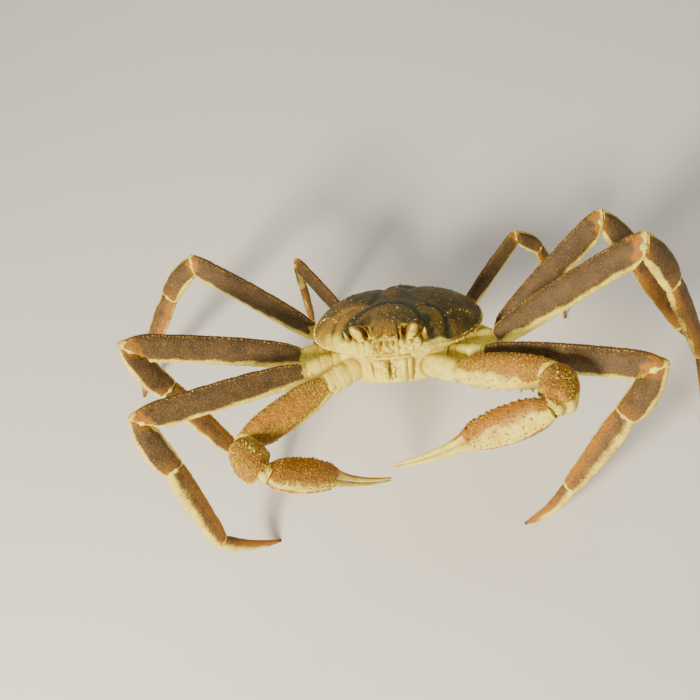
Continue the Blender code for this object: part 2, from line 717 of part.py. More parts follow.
def build_antenna(side, crab):
    """A jointed foot and a thin whip that bends forward and out."""
    foot = Vector((side * ANTENNA.x, ANTENNA.y, ANTENNA.z + GAP))
    middle, lean = foot, Vector((0, 0, 1))
    rings = []
    for i in range(ANTENNA_RINGS + 1):
        share = i / ANTENNA_RINGS
        if i > 0:
            bend = math.radians(ANTENNA_BEND) * share ** 0.7
            lean = Vector((side * 0.35 * math.sin(bend), -math.sin(bend), math.cos(bend))).normalized()
            middle = middle + lean * (ANTENNA_LENGTH / ANTENNA_RINGS)
        diameter = ANTENNA_FOOT
        if share > 0.25:
            diameter = 1.3 - 0.7 * share
        thin = lean.cross(Vector((1, 0, 0))).normalized()
        rings.append(ring(middle, thin.cross(lean), thin, diameter, diameter, 6, 2.0))
    letter = "L" if side > 0 else "R"
    add_object(f"antenna_{letter}", loft(rings), "antenna", crab, foot)


def build_maxilliped(side, crab):
    """One of the two mouth plates that close the front of the thorax."""
    wall = THORAX_CORNERS[0][1] - GAP
    top, foot = UNDERSIDE - GAP - 0.4, UNDERSIDE - THORAX_DEPTH + 3.0
    width, thick, parting = 12.6, 4.5, 0.6
    middle = Vector((side * (width / 2 + parting), wall - thick / 2, (top + foot) / 2))
    bm = bmesh.new()
    bmesh.ops.create_cube(bm, size=1.0)
    bmesh.ops.scale(bm, verts=bm.verts, vec=(width, thick, top - foot))
    front = [edge for edge in bm.edges if all(v.co.y < 0 for v in edge.verts)]
    bmesh.ops.bevel(bm, geom=front, offset=1.8, segments=2, affect="EDGES", profile=0.5)
    bmesh.ops.translate(bm, verts=bm.verts, vec=middle)
    letter = "L" if side > 0 else "R"
    add_object(f"maxilliped_{letter}", bm, "maxilliped", crab, middle)


class Crab:
    """The collections that the pieces go in and the empty that they hang from."""

    def __init__(self):
        self.collection = new_collection("snow_crab")
        self.helpers = new_collection("helpers")
        self.stance = bpy.data.objects.new("stance", None)
        self.stance.location = Vector((FLOOR_SHIFT[0], FLOOR_SHIFT[1], BODY_HEIGHT)) * MM
        self.stance.rotation_euler = stance_turn().to_euler()
        self.collection.objects.link(self.stance)


def main():
    clear_scene()
    random.seed(5)
    crab = Crab()
    build_carapace(crab)
    build_thorax(crab)
    build_abdomen(crab)
    for side in (-1, 1):
        build_eye(side, crab)
        build_antenna(side, crab)
        build_maxilliped(side, crab)
        build_claw_leg(side, crab)
        for number in range(2, 6):
            build_walking_leg(side, number, crab)
    bpy.context.view_layer.update()


main()
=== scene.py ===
"""Snow crab: the looks of the still, life-size model, built round its CAD frame.

Shapes are worked out in millimetres in the crab's own frame: it faces -Y, its left side is at +X and
+Z is up through its back. One stance matrix turns that frame nose up over the floor.
"""

import itertools
import math

import bpy
import numpy as np
from bpy.props import FloatProperty, IntProperty, PointerProperty, StringProperty
from mathutils import Matrix, Vector


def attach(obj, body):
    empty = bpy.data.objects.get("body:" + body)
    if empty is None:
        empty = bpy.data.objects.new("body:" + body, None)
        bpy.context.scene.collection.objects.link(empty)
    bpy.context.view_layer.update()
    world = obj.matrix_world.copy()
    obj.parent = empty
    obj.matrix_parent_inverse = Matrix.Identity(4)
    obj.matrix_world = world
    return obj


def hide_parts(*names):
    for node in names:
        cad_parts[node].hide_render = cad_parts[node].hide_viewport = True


bl_info = {
    "name": "Snow Crab Model",
    "version": (1, 0, 0),
    "blender": (4, 5, 0),
    "location": "View3D > Sidebar > Snow Crab",
    "description": "Builds a life-size snow crab standing on its claw tips",
    "category": "Add Mesh",
}

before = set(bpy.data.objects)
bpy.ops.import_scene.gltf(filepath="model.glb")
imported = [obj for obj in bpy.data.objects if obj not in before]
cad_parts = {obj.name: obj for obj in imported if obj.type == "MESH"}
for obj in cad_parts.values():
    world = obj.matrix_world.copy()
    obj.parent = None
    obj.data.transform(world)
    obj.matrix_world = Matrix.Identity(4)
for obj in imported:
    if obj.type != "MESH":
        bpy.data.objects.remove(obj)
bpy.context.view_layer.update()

MM = 0.001
GAP = 0.3                  # between neighbouring CAD pieces, in mm
SIDES = {"L": 1, "R": -1}  # the crab's left is at +X
LEG_PIECES = ("ischium", "merus", "carpus", "propodus", "dactylus")
CLAW_PIECES = ("ischium", "merus", "carpus", "palm", "finger")

# Stance of the body over the floor, as in the CAD source
BODY_HEIGHT = 99.0
NOSE_UP = 33.0
LEAN_LEFT = 3.0
FLOOR_SHIFT = (14.5, 23.1)
STANCE = (Matrix.Translation(Vector((FLOOR_SHIFT[0], FLOOR_SHIFT[1], BODY_HEIGHT)) * MM)
          @ Matrix.Rotation(math.radians(LEAN_LEFT), 4, "Y")
          @ Matrix.Rotation(math.radians(-NOSE_UP), 4, "X"))
TO_CRAB = np.array(STANCE.inverted())

# Levels and places of the body in the crab's frame, in mm
UNDERSIDE = -10.0
THORAX_SOLE = -29.3
THORAX_REAR = 38.0
CARAPACE_MIDDLE = -2.0     # lengthwise place of the outline's middle
ORBIT_FLOOR = 3.9
THORAX_CORNERS = ((16, -36), (32, -26), (38, -10), (40, 10), (34, 24), (22, 38))
LIMB_ROOT_LEVEL = -19.0
PALM_LENGTH = 49.95
FINGER_LENGTH = 54.5
FINGER_SAG = 2.4           # how far both fingers of a claw bow down together

# Spacing in mm of the raised grains of each part
LEG_GRAINS, CLAW_GRAINS, BACK_GRAINS, BREAST_GRAINS, MOUTH_GRAINS = 1.5, 1.9, 1.35, 1.8, 1.4

# Grains are scattered by the fraction of a large multiple of a sine of their cell's place
SCATTER_WAVES = ((12.9898, 78.233, 37.719), (39.3468, 11.135, 83.155), (73.156, 52.235, 9.151))
SCATTER_SCALE = 43758.5453


# Fields over points

def ripples(points, size, seed):
    """Smooth random field, mostly between -1 and 1, whose swells are about that many mm apart."""
    waves = 20
    rng = np.random.default_rng(seed)
    heading = rng.normal(size=(waves, 3))
    heading /= np.linalg.norm(heading, axis=1)[:, None] * size * rng.uniform(0.7, 1.4, (waves, 1))
    phase = rng.uniform(0, 2 * np.pi, waves)
    return np.sin(points @ heading.T * 2 * np.pi + phase).sum(-1) / math.sqrt(waves)


def granules(points, spacing, seed):
    """Height from 0 to 1 of round grains strewn about that many mm apart through space."""
    flat = points.reshape(-1, 3) / spacing
    cell = np.floor(flat)
    nearest = np.full(len(flat), 9.0)
    for offset in itertools.product((-1, 0, 1), repeat=3):
        home = cell + offset
        jitter = np.stack([np.sin(home @ np.array(wave) + seed) * SCATTER_SCALE % 1.0
                           for wave in SCATTER_WAVES], 1)
        away = ((flat - home - 0.1 - 0.8 * jitter) ** 2).sum(1)
        nearest = np.minimum(nearest, away)
    return np.clip(1 - nearest / 0.36, 0, 1).reshape(points.shape[:-1])


def smooth(low, high, value):
    """0 below low, 1 above high and an even bend between; low may be the larger."""
    share = np.clip((value - low) / (high - low), 0, 1)
    return share * share * (3 - 2 * share)


def bell(value, middle, width):
    """1 at the middle, falling to 0 about that width to both sides."""
    return np.exp(-((value - middle) / width) ** 2)


def distance_to_line(x, y, corners):
    """Distance in plan from places to a line through corners."""
    nearest = np.full(np.shape(x), 1e9)
    for (ax, ay), (bx, by) in zip(corners, corners[1:]):
        dx, dy = bx - ax, by - ay
        share = np.clip(((x - ax) * dx + (y - ay) * dy) / (dx * dx + dy * dy), 0, 1)
        nearest = np.minimum(nearest, np.hypot(x - ax - share * dx, y - ay - share * dy))
    return nearest


def near_line(x, y, corners, width):
    """1 on a line through corners, falling to 0 about that many mm to its sides."""
    return bell(distance_to_line(x, y, corners), 0, width)


def unit(vectors):
    """The vectors at length 1."""
    return vectors / np.maximum(np.linalg.norm(vectors, axis=-1, keepdims=True), 1e-9)


def ring_turns(count):
    """Turns of that many points evenly round a ring."""
    return np.arange(count) * 2 * np.pi / count


# Meshes

MARKS = ("pale", "warm", "deep")


class Shell:
    """Gathers sheets of points in mm, with the marks that their colour follows, for one mesh."""

    def __init__(self):
        self.points, self.faces, self.marks, self.count = [], [], {mark: [] for mark in MARKS}, 0

    def add(self, points, faces, marks):
        """Append points, triangles over them and the marks, where a missing one is 0."""
        flat = points.reshape(-1, 3)
        self.faces.append(faces.reshape(-1, 3) + self.count)
        self.points.append(flat)
        for mark in MARKS:
            value = np.broadcast_to(marks.get(mark, 0.0), points.shape[:-1])
            self.marks[mark].append(value.reshape(-1))
        self.count += len(flat)

    def grid(self, points, closed=True, capped=(False, False), **marks):
        """A sheet through rows of points; a closed one joins each row's end to its start."""
        rows, columns = points.shape[:2]
        index = np.arange(rows * columns).reshape(rows, columns)
        after = np.roll(index, -1, 1)
        if not closed:
            index, after = index[:, :-1], after[:, :-1]
        a, b, c, d = index[:-1], after[:-1], after[1:], index[1:]
        quads = np.stack([np.stack([a, b, c], -1), np.stack([a, c, d], -1)], 2)
        self.add(points, quads, marks)
        for row, wanted in zip((0, -1), capped):
            if wanted:
                ring = points[row]
                fan = np.concatenate([ring, ring.mean(0, keepdims=True)])
                k = np.arange(columns)
                order = (np.roll(k, -1), k) if row == 0 else (k, np.roll(k, -1))
                faces = np.stack([order[0], order[1], np.full(columns, columns)], -1)
                values = {}
                for mark, value in marks.items():
                    edge = np.broadcast_to(value, points.shape[:-1])[row]
                    values[mark] = np.append(edge, edge.mean())
                self.add(fan, faces, values)

    def domes(self, points, outward, radius, height, lean=0.0, sides=6, **marks):
        """Rounded grains or, where they are tall, spinules, on places of a surface."""
        points, outward = np.asarray(points, float), unit(np.asarray(outward, float))
        n = len(points)
        if n == 0:
            return
        radius, height = np.broadcast_to(radius, n), np.broadcast_to(height, n)
        helper = np.where(np.abs(outward[:, 2:]) < 0.8, [[0.0, 0.0, 1.0]], [[1.0, 0.0, 0.0]])
        across = unit(np.cross(outward, helper))
        other = np.cross(outward, across)
        turn = ring_turns(sides)
        rings = []
        for reach, level in ((1.1, -0.35), (0.86, 0.35), (0.5, 0.78)):
            spread = (across[:, None] * np.cos(turn)[:, None] + other[:, None] * np.sin(turn)[:, None])
            centre = points + outward * (height * level)[:, None] + lean * (height * max(level, 0))[:, None]
            rings.append(centre[:, None] + spread * (radius * reach)[:, None, None])
        top = points + outward * height[:, None] + lean * height[:, None]
        verts = np.concatenate(rings + [top[:, None]], 1)
        faces, k = [], np.arange(sides)
        j = (k + 1) % sides
        for level in range(2):
            low, high = level * sides, (level + 1) * sides
            faces += [np.stack([k + low, j + low, j + high], 1), np.stack([k + low, j + high, k + high], 1)]
        faces.append(np.stack([k + 2 * sides, j + 2 * sides, np.full(sides, 3 * sides)], 1))
        faces = np.concatenate(faces)[None] + (np.arange(n) * (3 * sides + 1))[:, None, None]
        values = {mark: np.repeat(np.broadcast_to(value, n)[:, None], 3 * sides + 1, 1)
                  for mark, value in marks.items()}
        self.add(verts, faces, values)

    def finish(self, name, material, slot, *nodes):
        """Make the object, stand it in the crab's stance and let it take its nodes' place."""
        points, faces = np.concatenate(self.points), np.concatenate(self.faces)
        mesh = bpy.data.meshes.new(name)
        mesh.vertices.add(len(points))
        turn = np.array(STANCE)
        mesh.vertices.foreach_set("co", (points * MM @ turn[:3, :3].T + turn[:3, 3]).ravel())
        mesh.loops.add(len(faces) * 3)
        mesh.loops.foreach_set("vertex_index", faces.ravel().astype(np.int32))
        mesh.polygons.add(len(faces))
        mesh.polygons.foreach_set("loop_start", np.arange(0, len(faces) * 3, 3, dtype=np.int32))
        mesh.update(calc_edges=True)
        mesh.shade_smooth()
        for mark in MARKS:
            layer = mesh.attributes.new(mark, "FLOAT", "POINT")
            layer.data.foreach_set("value", np.concatenate(self.marks[mark]).astype(np.float32))
        mesh.materials.append(material)
        piece = bpy.data.objects.new(name, mesh)
        bpy.context.scene.collection.objects.link(piece)
        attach(piece, "root")
        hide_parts(*nodes)


def surface_normals(points, closed=True):
    """Outward normals of a sheet's points, from its neighbours in both directions."""
    along = np.gradient(points, axis=0)
    if closed:
        across = (np.roll(points, -1, 1) - np.roll(points, 1, 1)) / 2
    else:
        across = np.gradient(points, axis=1)
    return unit(np.cross(across, along))


def rings(centres, wide, thin, width, thickness, across, through):
    """Points round each centre, on ovals of that width and thickness along the two axes."""
    return (centres[:, None] + wide[..., None, :] * (width[:, None] * across / 2)[..., None]
            + thin[..., None, :] * (thickness[:, None] * through / 2)[..., None])


# Materials

MOTTLE_SPACING = 9.0       # mm between light and dark patches of the shell
STIPPLE_SPACING = 1.6      # mm between the fine spots that break up every colour's edge
FACET_SPACING = 0.35       # mm between the eye's facets, drawn coarser than real ones for close views
PAPER_SPACING = 10 / 9     # mm between the fibres of the floor's paper, drawn coarser than real ones
PAPER_COLOURS = ("D9D8D4", "DFDEDA")
# Colours of each kind of shell (ground, dark patches, warm marks, tips of grains), the size that sets its
# grain, and its roughness
SHELL_KINDS = {
    "back_chitin": ("back", "back_dark", "back_warm", "back_speck", "back_grain", 0.5),
    "limb_chitin": ("limb", "limb_dark", "limb_warm", "limb_speck", "limb_grain", 0.62),
    "claw_chitin": ("claw", "claw_dark", "claw_warm", "claw_speck", "limb_grain", 0.5),
    "pale_chitin": ("pale", "pale_shade", "limb_warm", "cream", "limb_grain", 0.46),
}
# How each mark shows in a shell's colour: how far noise shifts its edge, and where it starts and is full
MARK_EDGES = {"warm": (0.6, 0.1, 0.9), "deep": (0.5, 0.1, 0.9), "pale": (0.45, 0.12, 0.92)}


def linear(hex_colour):
    """Linear colour with alpha from an sRGB hex colour."""
    channels = [int(hex_colour[i:i + 2], 16) / 255 for i in (0, 2, 4)]
    return [c / 12.92 if c <= 0.04045 else ((c + 0.055) / 1.055) ** 2.4 for c in channels] + [1.0]


def add(tree, kind, inputs=None, **settings):
    """Add a node with its settings; its inputs are values or other nodes' outputs."""
    node = tree.nodes.new(kind)
    for name, value in settings.items():
        setattr(node, name, value)
    for name, value in (inputs or {}).items():
        socket = node.inputs[name]
        if isinstance(value, bpy.types.NodeSocket):
            tree.links.new(value, socket)
        else:
            socket.default_value = value
    return node


def new_material(name):
    """A new material, with its node tree and its shader."""
    material = bpy.data.materials.new(name)
    material.use_nodes = True
    return material, material.node_tree, material.node_tree.nodes["Principled BSDF"]


def shell_material(name, base, dark, warm, pale, shade, speck, grain, roughness):
    """Crab shell: chitin hardened with lime, matt and granular, with a thin satin outer skin.

    To the eye it is a mottled brown ground that turns orange at edges and cream below, sown with
    fine grains that catch the light. The grain is their spacing in mm. A pixel of the camera spans
    about 0.6 mm of the crab, so grains are drawn about 1 mm apart, as coarse as they need to show.
    """
    material, tree, shader = new_material(name)
    place = add(tree, "ShaderNodeTexCoord").outputs["Object"]
    mottle = add(tree, "ShaderNodeTexNoise", {"Vector": place, "Scale": 1 / (MOTTLE_SPACING * MM),
                                              "Detail": 4.0, "Roughness": 0.6}).outputs["Fac"]
    fine = add(tree, "ShaderNodeTexNoise", {"Vector": place, "Scale": 1 / (STIPPLE_SPACING * MM),
                                            "Detail": 3.0, "Roughness": 0.65}).outputs["Fac"]
    grains = add(tree, "ShaderNodeTexVoronoi", {"Vector": place, "Scale": 1 / (grain * MM),
                                                "Randomness": 1.0}).outputs["Distance"]
    patches = add(tree, "ShaderNodeMapRange", {0: mottle, 1: 0.34, 2: 0.66}, clamp=True).outputs[0]
    crest = add(tree, "ShaderNodeMapRange", {0: grains, 1: 0.42, 2: 0.12}, clamp=True).outputs[0]
    glint = add(tree, "ShaderNodeMath", {0: fine, 1: 0.9, 2: -0.12}, operation="MULTIPLY_ADD",
                use_clamp=True).outputs[0]
    glint = add(tree, "ShaderNodeMath", {0: crest, 1: glint}, operation="MULTIPLY", use_clamp=True).outputs[0]

    # Both noises break up the edge of each mark, so that no border runs straight
    shares = {}
    for mark, (spread, low, high) in MARK_EDGES.items():
        wander = -spread
        for noise in (fine, mottle):
            wander = add(tree, "ShaderNodeMath", {0: noise, 1: spread, 2: wander},
                         operation="MULTIPLY_ADD").outputs[0]
        own = add(tree, "ShaderNodeAttribute", attribute_name=mark).outputs["Fac"]
        edge = add(tree, "ShaderNodeMath", {0: own, 1: wander}, operation="ADD").outputs[0]
        shares[mark] = add(tree, "ShaderNodeMapRange", {0: edge, 1: low, 2: high}, clamp=True,
                           interpolation_type="SMOOTHSTEP").outputs[0]

    cream = add(tree, "ShaderNodeMix", {0: patches, 6: linear(shade), 7: linear(pale)},
                data_type="RGBA").outputs[2]
    layers = ((patches, linear(base)), (shares["warm"], linear(warm)), (shares["deep"], linear(dark)),
              (shares["pale"], cream), (glint, linear(speck)))
    colour = linear(dark)
    for share, tone in layers:
        colour = add(tree, "ShaderNodeMix", {0: share, 6: colour, 7: tone}, data_type="RGBA").outputs[2]
    brightness = add(tree, "ShaderNodeMapRange", {0: fine, 1: 0.3, 2: 0.7, 3: 0.78, 4: 1.1},
                     clamp=True).outputs[0]
    spotted = add(tree, "ShaderNodeHueSaturation", {"Color": colour, "Value": brightness}).outputs[0]
    tree.links.new(spotted, shader.inputs["Base Color"])
    rough = add(tree, "ShaderNodeMapRange", {0: fine, 1: 0.3, 2: 0.7, 3: roughness - 0.08,
                                             4: roughness + 0.12}).outputs[0]
    tree.links.new(rough, shader.inputs["Roughness"])
    height = add(tree, "ShaderNodeMath", {0: fine, 1: 0.5}, operation="MULTIPLY").outputs[0]
    height = add(tree, "ShaderNodeMath", {0: crest, 1: 0.7, 2: height}, operation="MULTIPLY_ADD").outputs[0]
    bump = add(tree, "ShaderNodeBump", {"Height": height, "Strength": 0.6, "Distance": 0.35 * MM}).outputs[0]
    tree.links.new(bump, shader.inputs["Normal"])
    shader.inputs["IOR"].default_value = 1.52
    shader.inputs["Specular IOR Level"].default_value = 0.28
    shader.inputs["Subsurface Weight"].default_value = 0.06
    shader.inputs["Subsurface Scale"].default_value = 1.2 * MM
    return material


def eye_material(name, rim, light, dark):
    """Cornea: clear hard skin over a honeycomb of lenses, amber with a wet gloss.

    To the eye it is a glossy bead, dark amber at its edge, with a painted highlight where it faces forward.
    """
    material, tree, shader = new_material(name)
    place = add(tree, "ShaderNodeTexCoord").outputs["Object"]
    facets = add(tree, "ShaderNodeTexVoronoi", {"Vector": place, "Scale": 1 / (FACET_SPACING * MM),
                                                "Randomness": 0.2})
    colour = linear(dark)
    for mark, tone in (("warm", rim), ("pale", light)):
        share = add(tree, "ShaderNodeAttribute", attribute_name=mark).outputs["Fac"]
        colour = add(tree, "ShaderNodeMix", {0: share, 6: colour, 7: linear(tone)},
                     data_type="RGBA").outputs[2]
    tree.links.new(colour, shader.inputs["Base Color"])
    bump = add(tree, "ShaderNodeBump", {"Height": facets.outputs["Distance"], "Strength": 0.25,
                                        "Distance": 0.05 * MM}).outputs[0]
    tree.links.new(bump, shader.inputs["Normal"])
    shader.inputs["Roughness"].default_value = 0.4
    shader.inputs["IOR"].default_value = 1.45
    shader.inputs["Coat Weight"].default_value = 0.1
    shader.inputs["Coat Roughness"].default_value = 0.12
    return material


def shell_finish(kind):
    """The material of one kind of shell, made the first time it is asked for."""
    if kind in bpy.data.materials:
        return bpy.data.materials[kind]
    colours, sizes = bpy.context.scene.crab_colours, bpy.context.scene.crab_sizes
    if kind == "cornea":
        return eye_material(kind, colours.eye_rim, colours.eye_highlight, colours.eye_dark)
    *tones, grain, roughness = SHELL_KINDS[kind]
    base, dark, warm, speck = (getattr(colours, tone) for tone in tones)
    return shell_material(kind, base, dark, warm, colours.cream, colours.pale_shade, speck,
                          getattr(sizes, grain), roughness)


# Limbs

FINGERTIP_CORNERS = 6      # points of a CAD finger that stand for its tip
JOINT_INSET = 0.2          # mm that a piece's end rows keep back from the joint's plane


def crab_points(node):
    """A CAD node's vertices in mm in the crab's frame."""
    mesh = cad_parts[node].data
    co = np.empty(len(mesh.vertices) * 3)
    mesh.vertices.foreach_get("co", co)
    return np.unique(np.round((co.reshape(-1, 3) @ TO_CRAB[:3, :3].T + TO_CRAB[:3, 3]) / MM, 3), axis=0)


def facing_rings(first, second):
    """The points of two neighbouring solids that face each other across their gap."""
    apart = np.linalg.norm(first[:, None] - second[None], axis=-1)
    across_gap = GAP + 0.04
    return first[apart.min(1) < across_gap], second[apart.min(0) < across_gap]


def breast_walls():
    """For each wall of the breast seen from above, one of its corners and its outward normal."""
    corners = np.array(list(THORAX_CORNERS) + [(-x, y) for x, y in reversed(THORAX_CORNERS)], float)
    for here, there in zip(corners, np.roll(corners, -1, 0)):
        edge = there - here
        normal = unit(np.array((-edge[1], edge[0])))
        yield here, normal * np.sign(normal @ (here + there))


def root_ring(points):
    """The points of a limb's first piece that lie along a wall of the breast, and that wall's normal."""
    for here, normal in breast_walls():
        away = (points[:, :2] - here) @ normal
        ring = points[np.abs(away - GAP) < 0.05]
        if len(ring) >= 12 and np.all(away > GAP - 0.1):
            return ring, np.append(normal, 0.0)
    raise ValueError("a limb's first piece stands at no wall of the breast")


class Joint:
    """Where two limb pieces meet: its place, its plane and the oval of the limb there."""

    def __init__(self, corners, normal):
        self.corners, self.normal = corners, unit(normal)
        self.point = corners.mean(0)

    @classmethod
    def between(cls, first, second):
        """The joint in the gap between two neighbouring solids."""
        near, far = facing_rings(first, second)
        return cls((near.mean(0) + far.mean(0)) / 2 + near - near.mean(0), far.mean(0) - near.mean(0))

    def turn_to(self, wide, thin):
        """Lay the joint's axes in its plane, close to the given ones, and measure its oval along them."""
        flat = thin - self.normal * (thin @ self.normal)
        self.thin = unit(flat)
        self.wide = np.cross(self.thin, self.normal)
        if self.wide @ wide < 0:
            self.wide, self.thin = -self.wide, -self.thin
        away = self.corners - self.point
        self.width, self.thickness = np.ptp(away @ self.wide), np.ptp(away @ self.thin)


class Bone:
    """One limb piece between its joints, with the way it is wide and the way it is thin."""

    def __init__(self, start, end, before):
        self.start, self.end = start, end
        self.length = np.linalg.norm(end.point - start.point)
        self.along = (end.point - start.point) / self.length
        up = np.array((0.0, 0.0, 1.0))
        wide = unit(up - self.along * (up @ self.along))
        if before is not None:
            # The wide side turns over with the limb: carry the piece before's one through the bend
            turn = Vector(before.along).rotation_difference(Vector(self.along))
            if wide @ np.array(turn @ Vector(before.wide)) < 0:
                wide = -wide
        self.wide, self.thin = wide, np.cross(self.along, wide)


def limb_bones(nodes):
    """A limb's pieces from the body out, read from the rings where its CAD solids face each other."""
    clouds = [crab_points(node) for node in nodes]
    joints = [Joint(*root_ring(clouds[0]))]
    joints += [Joint.between(near, far) for near, far in zip(clouds, clouds[1:])]
    if nodes[0].startswith("leg"):
        height = clouds[-1] @ np.array(STANCE)[2, :3]
        down = -np.array(STANCE)[2, :3]
        joints.append(Joint(clouds[-1][height < height.min() + 0.05], down))
    else:
        start = joints[-1].point
        finger = crab_points(nodes[-1].replace("palm", "finger"))
        tips = []
        for cloud in (clouds[-1], finger):
            farthest = np.argsort(np.linalg.norm(cloud - start, axis=1))[-FINGERTIP_CORNERS:]
            tips.append(cloud[farthest].mean(0))
        along = unit(sum(tips) / 2 - start)
        joints.append(Joint(np.array([start + along * PALM_LENGTH]), along))
    bones = []
    for start, end in zip(joints, joints[1:]):
        bones.append(Bone(start, end, bones[-1] if bones else None))
    for i, joint in enumerate(joints):
        before, after = bones[max(i - 1, 0)], bones[min(i, len(bones) - 1)]
        joint.turn_to(before.wide + after.wide, before.thin + after.thin)
    return bones


def section(turn, squareness):
    """Across and through of a rounded oval at turns round it."""
    across = np.sign(np.cos(turn)) * np.abs(np.cos(turn)) ** (2 / squareness)
    through = np.sign(np.sin(turn)) * np.abs(np.sin(turn)) ** (2 / squareness)
    return across, through


def blend_axis(own, start, end, near_start, near_end):
    """A piece's own axis, turned towards its joints' ones by how near each row is to them."""
    axis = own * (1 - near_start - near_end)[:, None]
    axis = axis + start * near_start[:, None] + end * near_end[:, None]
    return unit(axis)


def limb_rows(bone, profile, step, sides, bow, bend, squareness=2.3):
    """Rows of points round a limb piece: (rows, sides, 3), with each row's share and each side's turn.

    The profile gives shares and the width and thickness there. Near a joint the rows lean over into
    the joint's plane, so that neighbouring pieces meet in a mitre.
    """
    rows = max(8, int(bone.length / step))
    swing = np.linspace(0, np.pi, rows)
    share = 0.5 - 0.5 * np.cos(swing) * (1 - 0.12 * np.sin(swing))
    share = 0.35 * share + 0.65 * np.linspace(0, 1, rows)
    share[0], share[-1] = 0.0, 1.0
    shares, widths, thicks = (np.array(column) for column in zip(*profile))
    width, thick = fair(shares, widths, share), fair(shares, thicks, share)
    reach = min(bend / bone.length, 0.48)
    near_start, near_end = smooth(reach, 0, share), smooth(1 - reach, 1, share)
    wide = blend_axis(bone.wide, bone.start.wide, bone.end.wide, near_start, near_end)
    thin = blend_axis(bone.thin, bone.start.thin, bone.end.thin, near_start, near_end)
    start = bone.start.point + bone.start.normal * JOINT_INSET
    end = bone.end.point - bone.end.normal * JOINT_INSET
    centre = start + (end - start) * share[:, None]
    centre = centre + bone.wide * (bow * bone.length * 4 * share * (1 - share))[:, None]
    turn = ring_turns(sides)
    across, through = section(turn, squareness)
    points = rings(centre, wide, thin, width, thick, across, through)
    return points, share[:, None] + 0 * turn, np.broadcast_to(turn, (rows, sides))


def fair(shares, values, at):
    """Smooth curve through values at shares, without overshoot."""
    slope = np.diff(values) / np.diff(shares)
    tangent = np.zeros(len(values))
    same = slope[1:] * slope[:-1] > 0
    inner = np.where(same, 2 * slope[1:] * slope[:-1] / np.where(same, slope[1:] + slope[:-1], 1), 0)
    tangent[1:-1] = inner
    tangent[0], tangent[-1] = slope[0], slope[-1]
    i = np.clip(np.searchsorted(shares, at, side="right") - 1, 0, len(shares) - 2)
    gap = shares[i + 1] - shares[i]
    t = (at - shares[i]) / gap
    return ((2 * t ** 3 - 3 * t ** 2 + 1) * values[i] + (t ** 3 - 2 * t ** 2 + t) * gap * tangent[i]
            + (-2 * t ** 3 + 3 * t ** 2) * values[i + 1] + (t ** 3 - t ** 2) * gap * tangent[i + 1])


# Fullest width and thickness in mm of the pieces of a full-size walking leg
LEG_FULL = {"ischium": (15, 12.5), "merus": (18.5, 9.6), "carpus": (17.5, 10), "propodus": (15.4, 8.8),
            "dactylus": (9.6, 6.2)}
# Girth of each pair of legs against the first, and how far each piece bows out, as a share of its length
LEG_GIRTHS = {2: 1.0, 3: 1.0, 4: 0.92, 5: 0.62}
LEG_BOWS = {"ischium": 0.0, "merus": 0.012, "carpus": 0.05, "propodus": 0.01, "dactylus": 0.06}


def profile_of(bone, kind, girth):
    """Shares with width and thickness of a piece, from its joints' ovals and its fullest middle."""
    wide, thick = (size * girth for size in LEG_FULL[kind])
    w0, t0, w1, t1 = bone.start.width, bone.start.thickness, bone.end.width, bone.end.thickness
    lip = 1.2 / bone.length
    rows = {
        "ischium": [(0, w0 * 0.94, t0 * 0.94), (0.1, w0, t0), (0.5, wide, thick),
                    (1 - 2 * lip, w1 * 1.04, t1 * 1.06), (1, w1 * 0.96, t1 * 0.96)],
        "merus": [(0, w0 * 0.86, t0 * 0.86), (2 * lip, w0, t0), (0.16, wide * 0.93, thick * 0.97),
                  (0.42, wide, thick), (0.8, wide * 0.97, thick), (1 - 2.5 * lip, w1 * 1.03, t1 * 1.12),
                  (1, w1 * 0.95, t1 * 0.98)],
        "carpus": [(0, w0 * 0.8, t0 * 0.84), (1.5 * lip, w0 * 0.9, t0 * 0.96), (0.25, wide * 0.93, thick),
                   (0.6, wide, thick), (1 - 2.5 * lip, w1 * 1.05, t1 * 1.1), (1, w1 * 0.97, t1 * 0.96)],
        "propodus": [(0, w0 * 0.84, t0 * 0.86), (1.5 * lip, w0 * 0.96, t0 * 0.98), (0.25, wide, thick),
                     (0.7, wide * 0.86, thick * 0.9), (1 - 2.5 * lip, w1 * 1.06, t1 * 1.08),
                     (1, w1 * 0.96, t1 * 0.96)],
        "dactylus": [(0, w0 * 0.84, t0 * 0.86), (0.1, w0 * 0.95, t0 * 0.97), (0.3, w0 * 0.86, t0 * 0.88),
                     (0.65, w0 * 0.6, t0 * 0.62), (0.9, w0 * 0.36, t0 * 0.38), (1, w1, t1)],
    }
    return rows[kind]


def ischium_marks(share):
    """Colour marks of a limb's first piece, cream that turns orange towards the body."""
    return {"pale": 0.5 + 0.4 * smooth(0.5, 0.95, share), "warm": 0.3 * smooth(0.6, 0.0, share)}


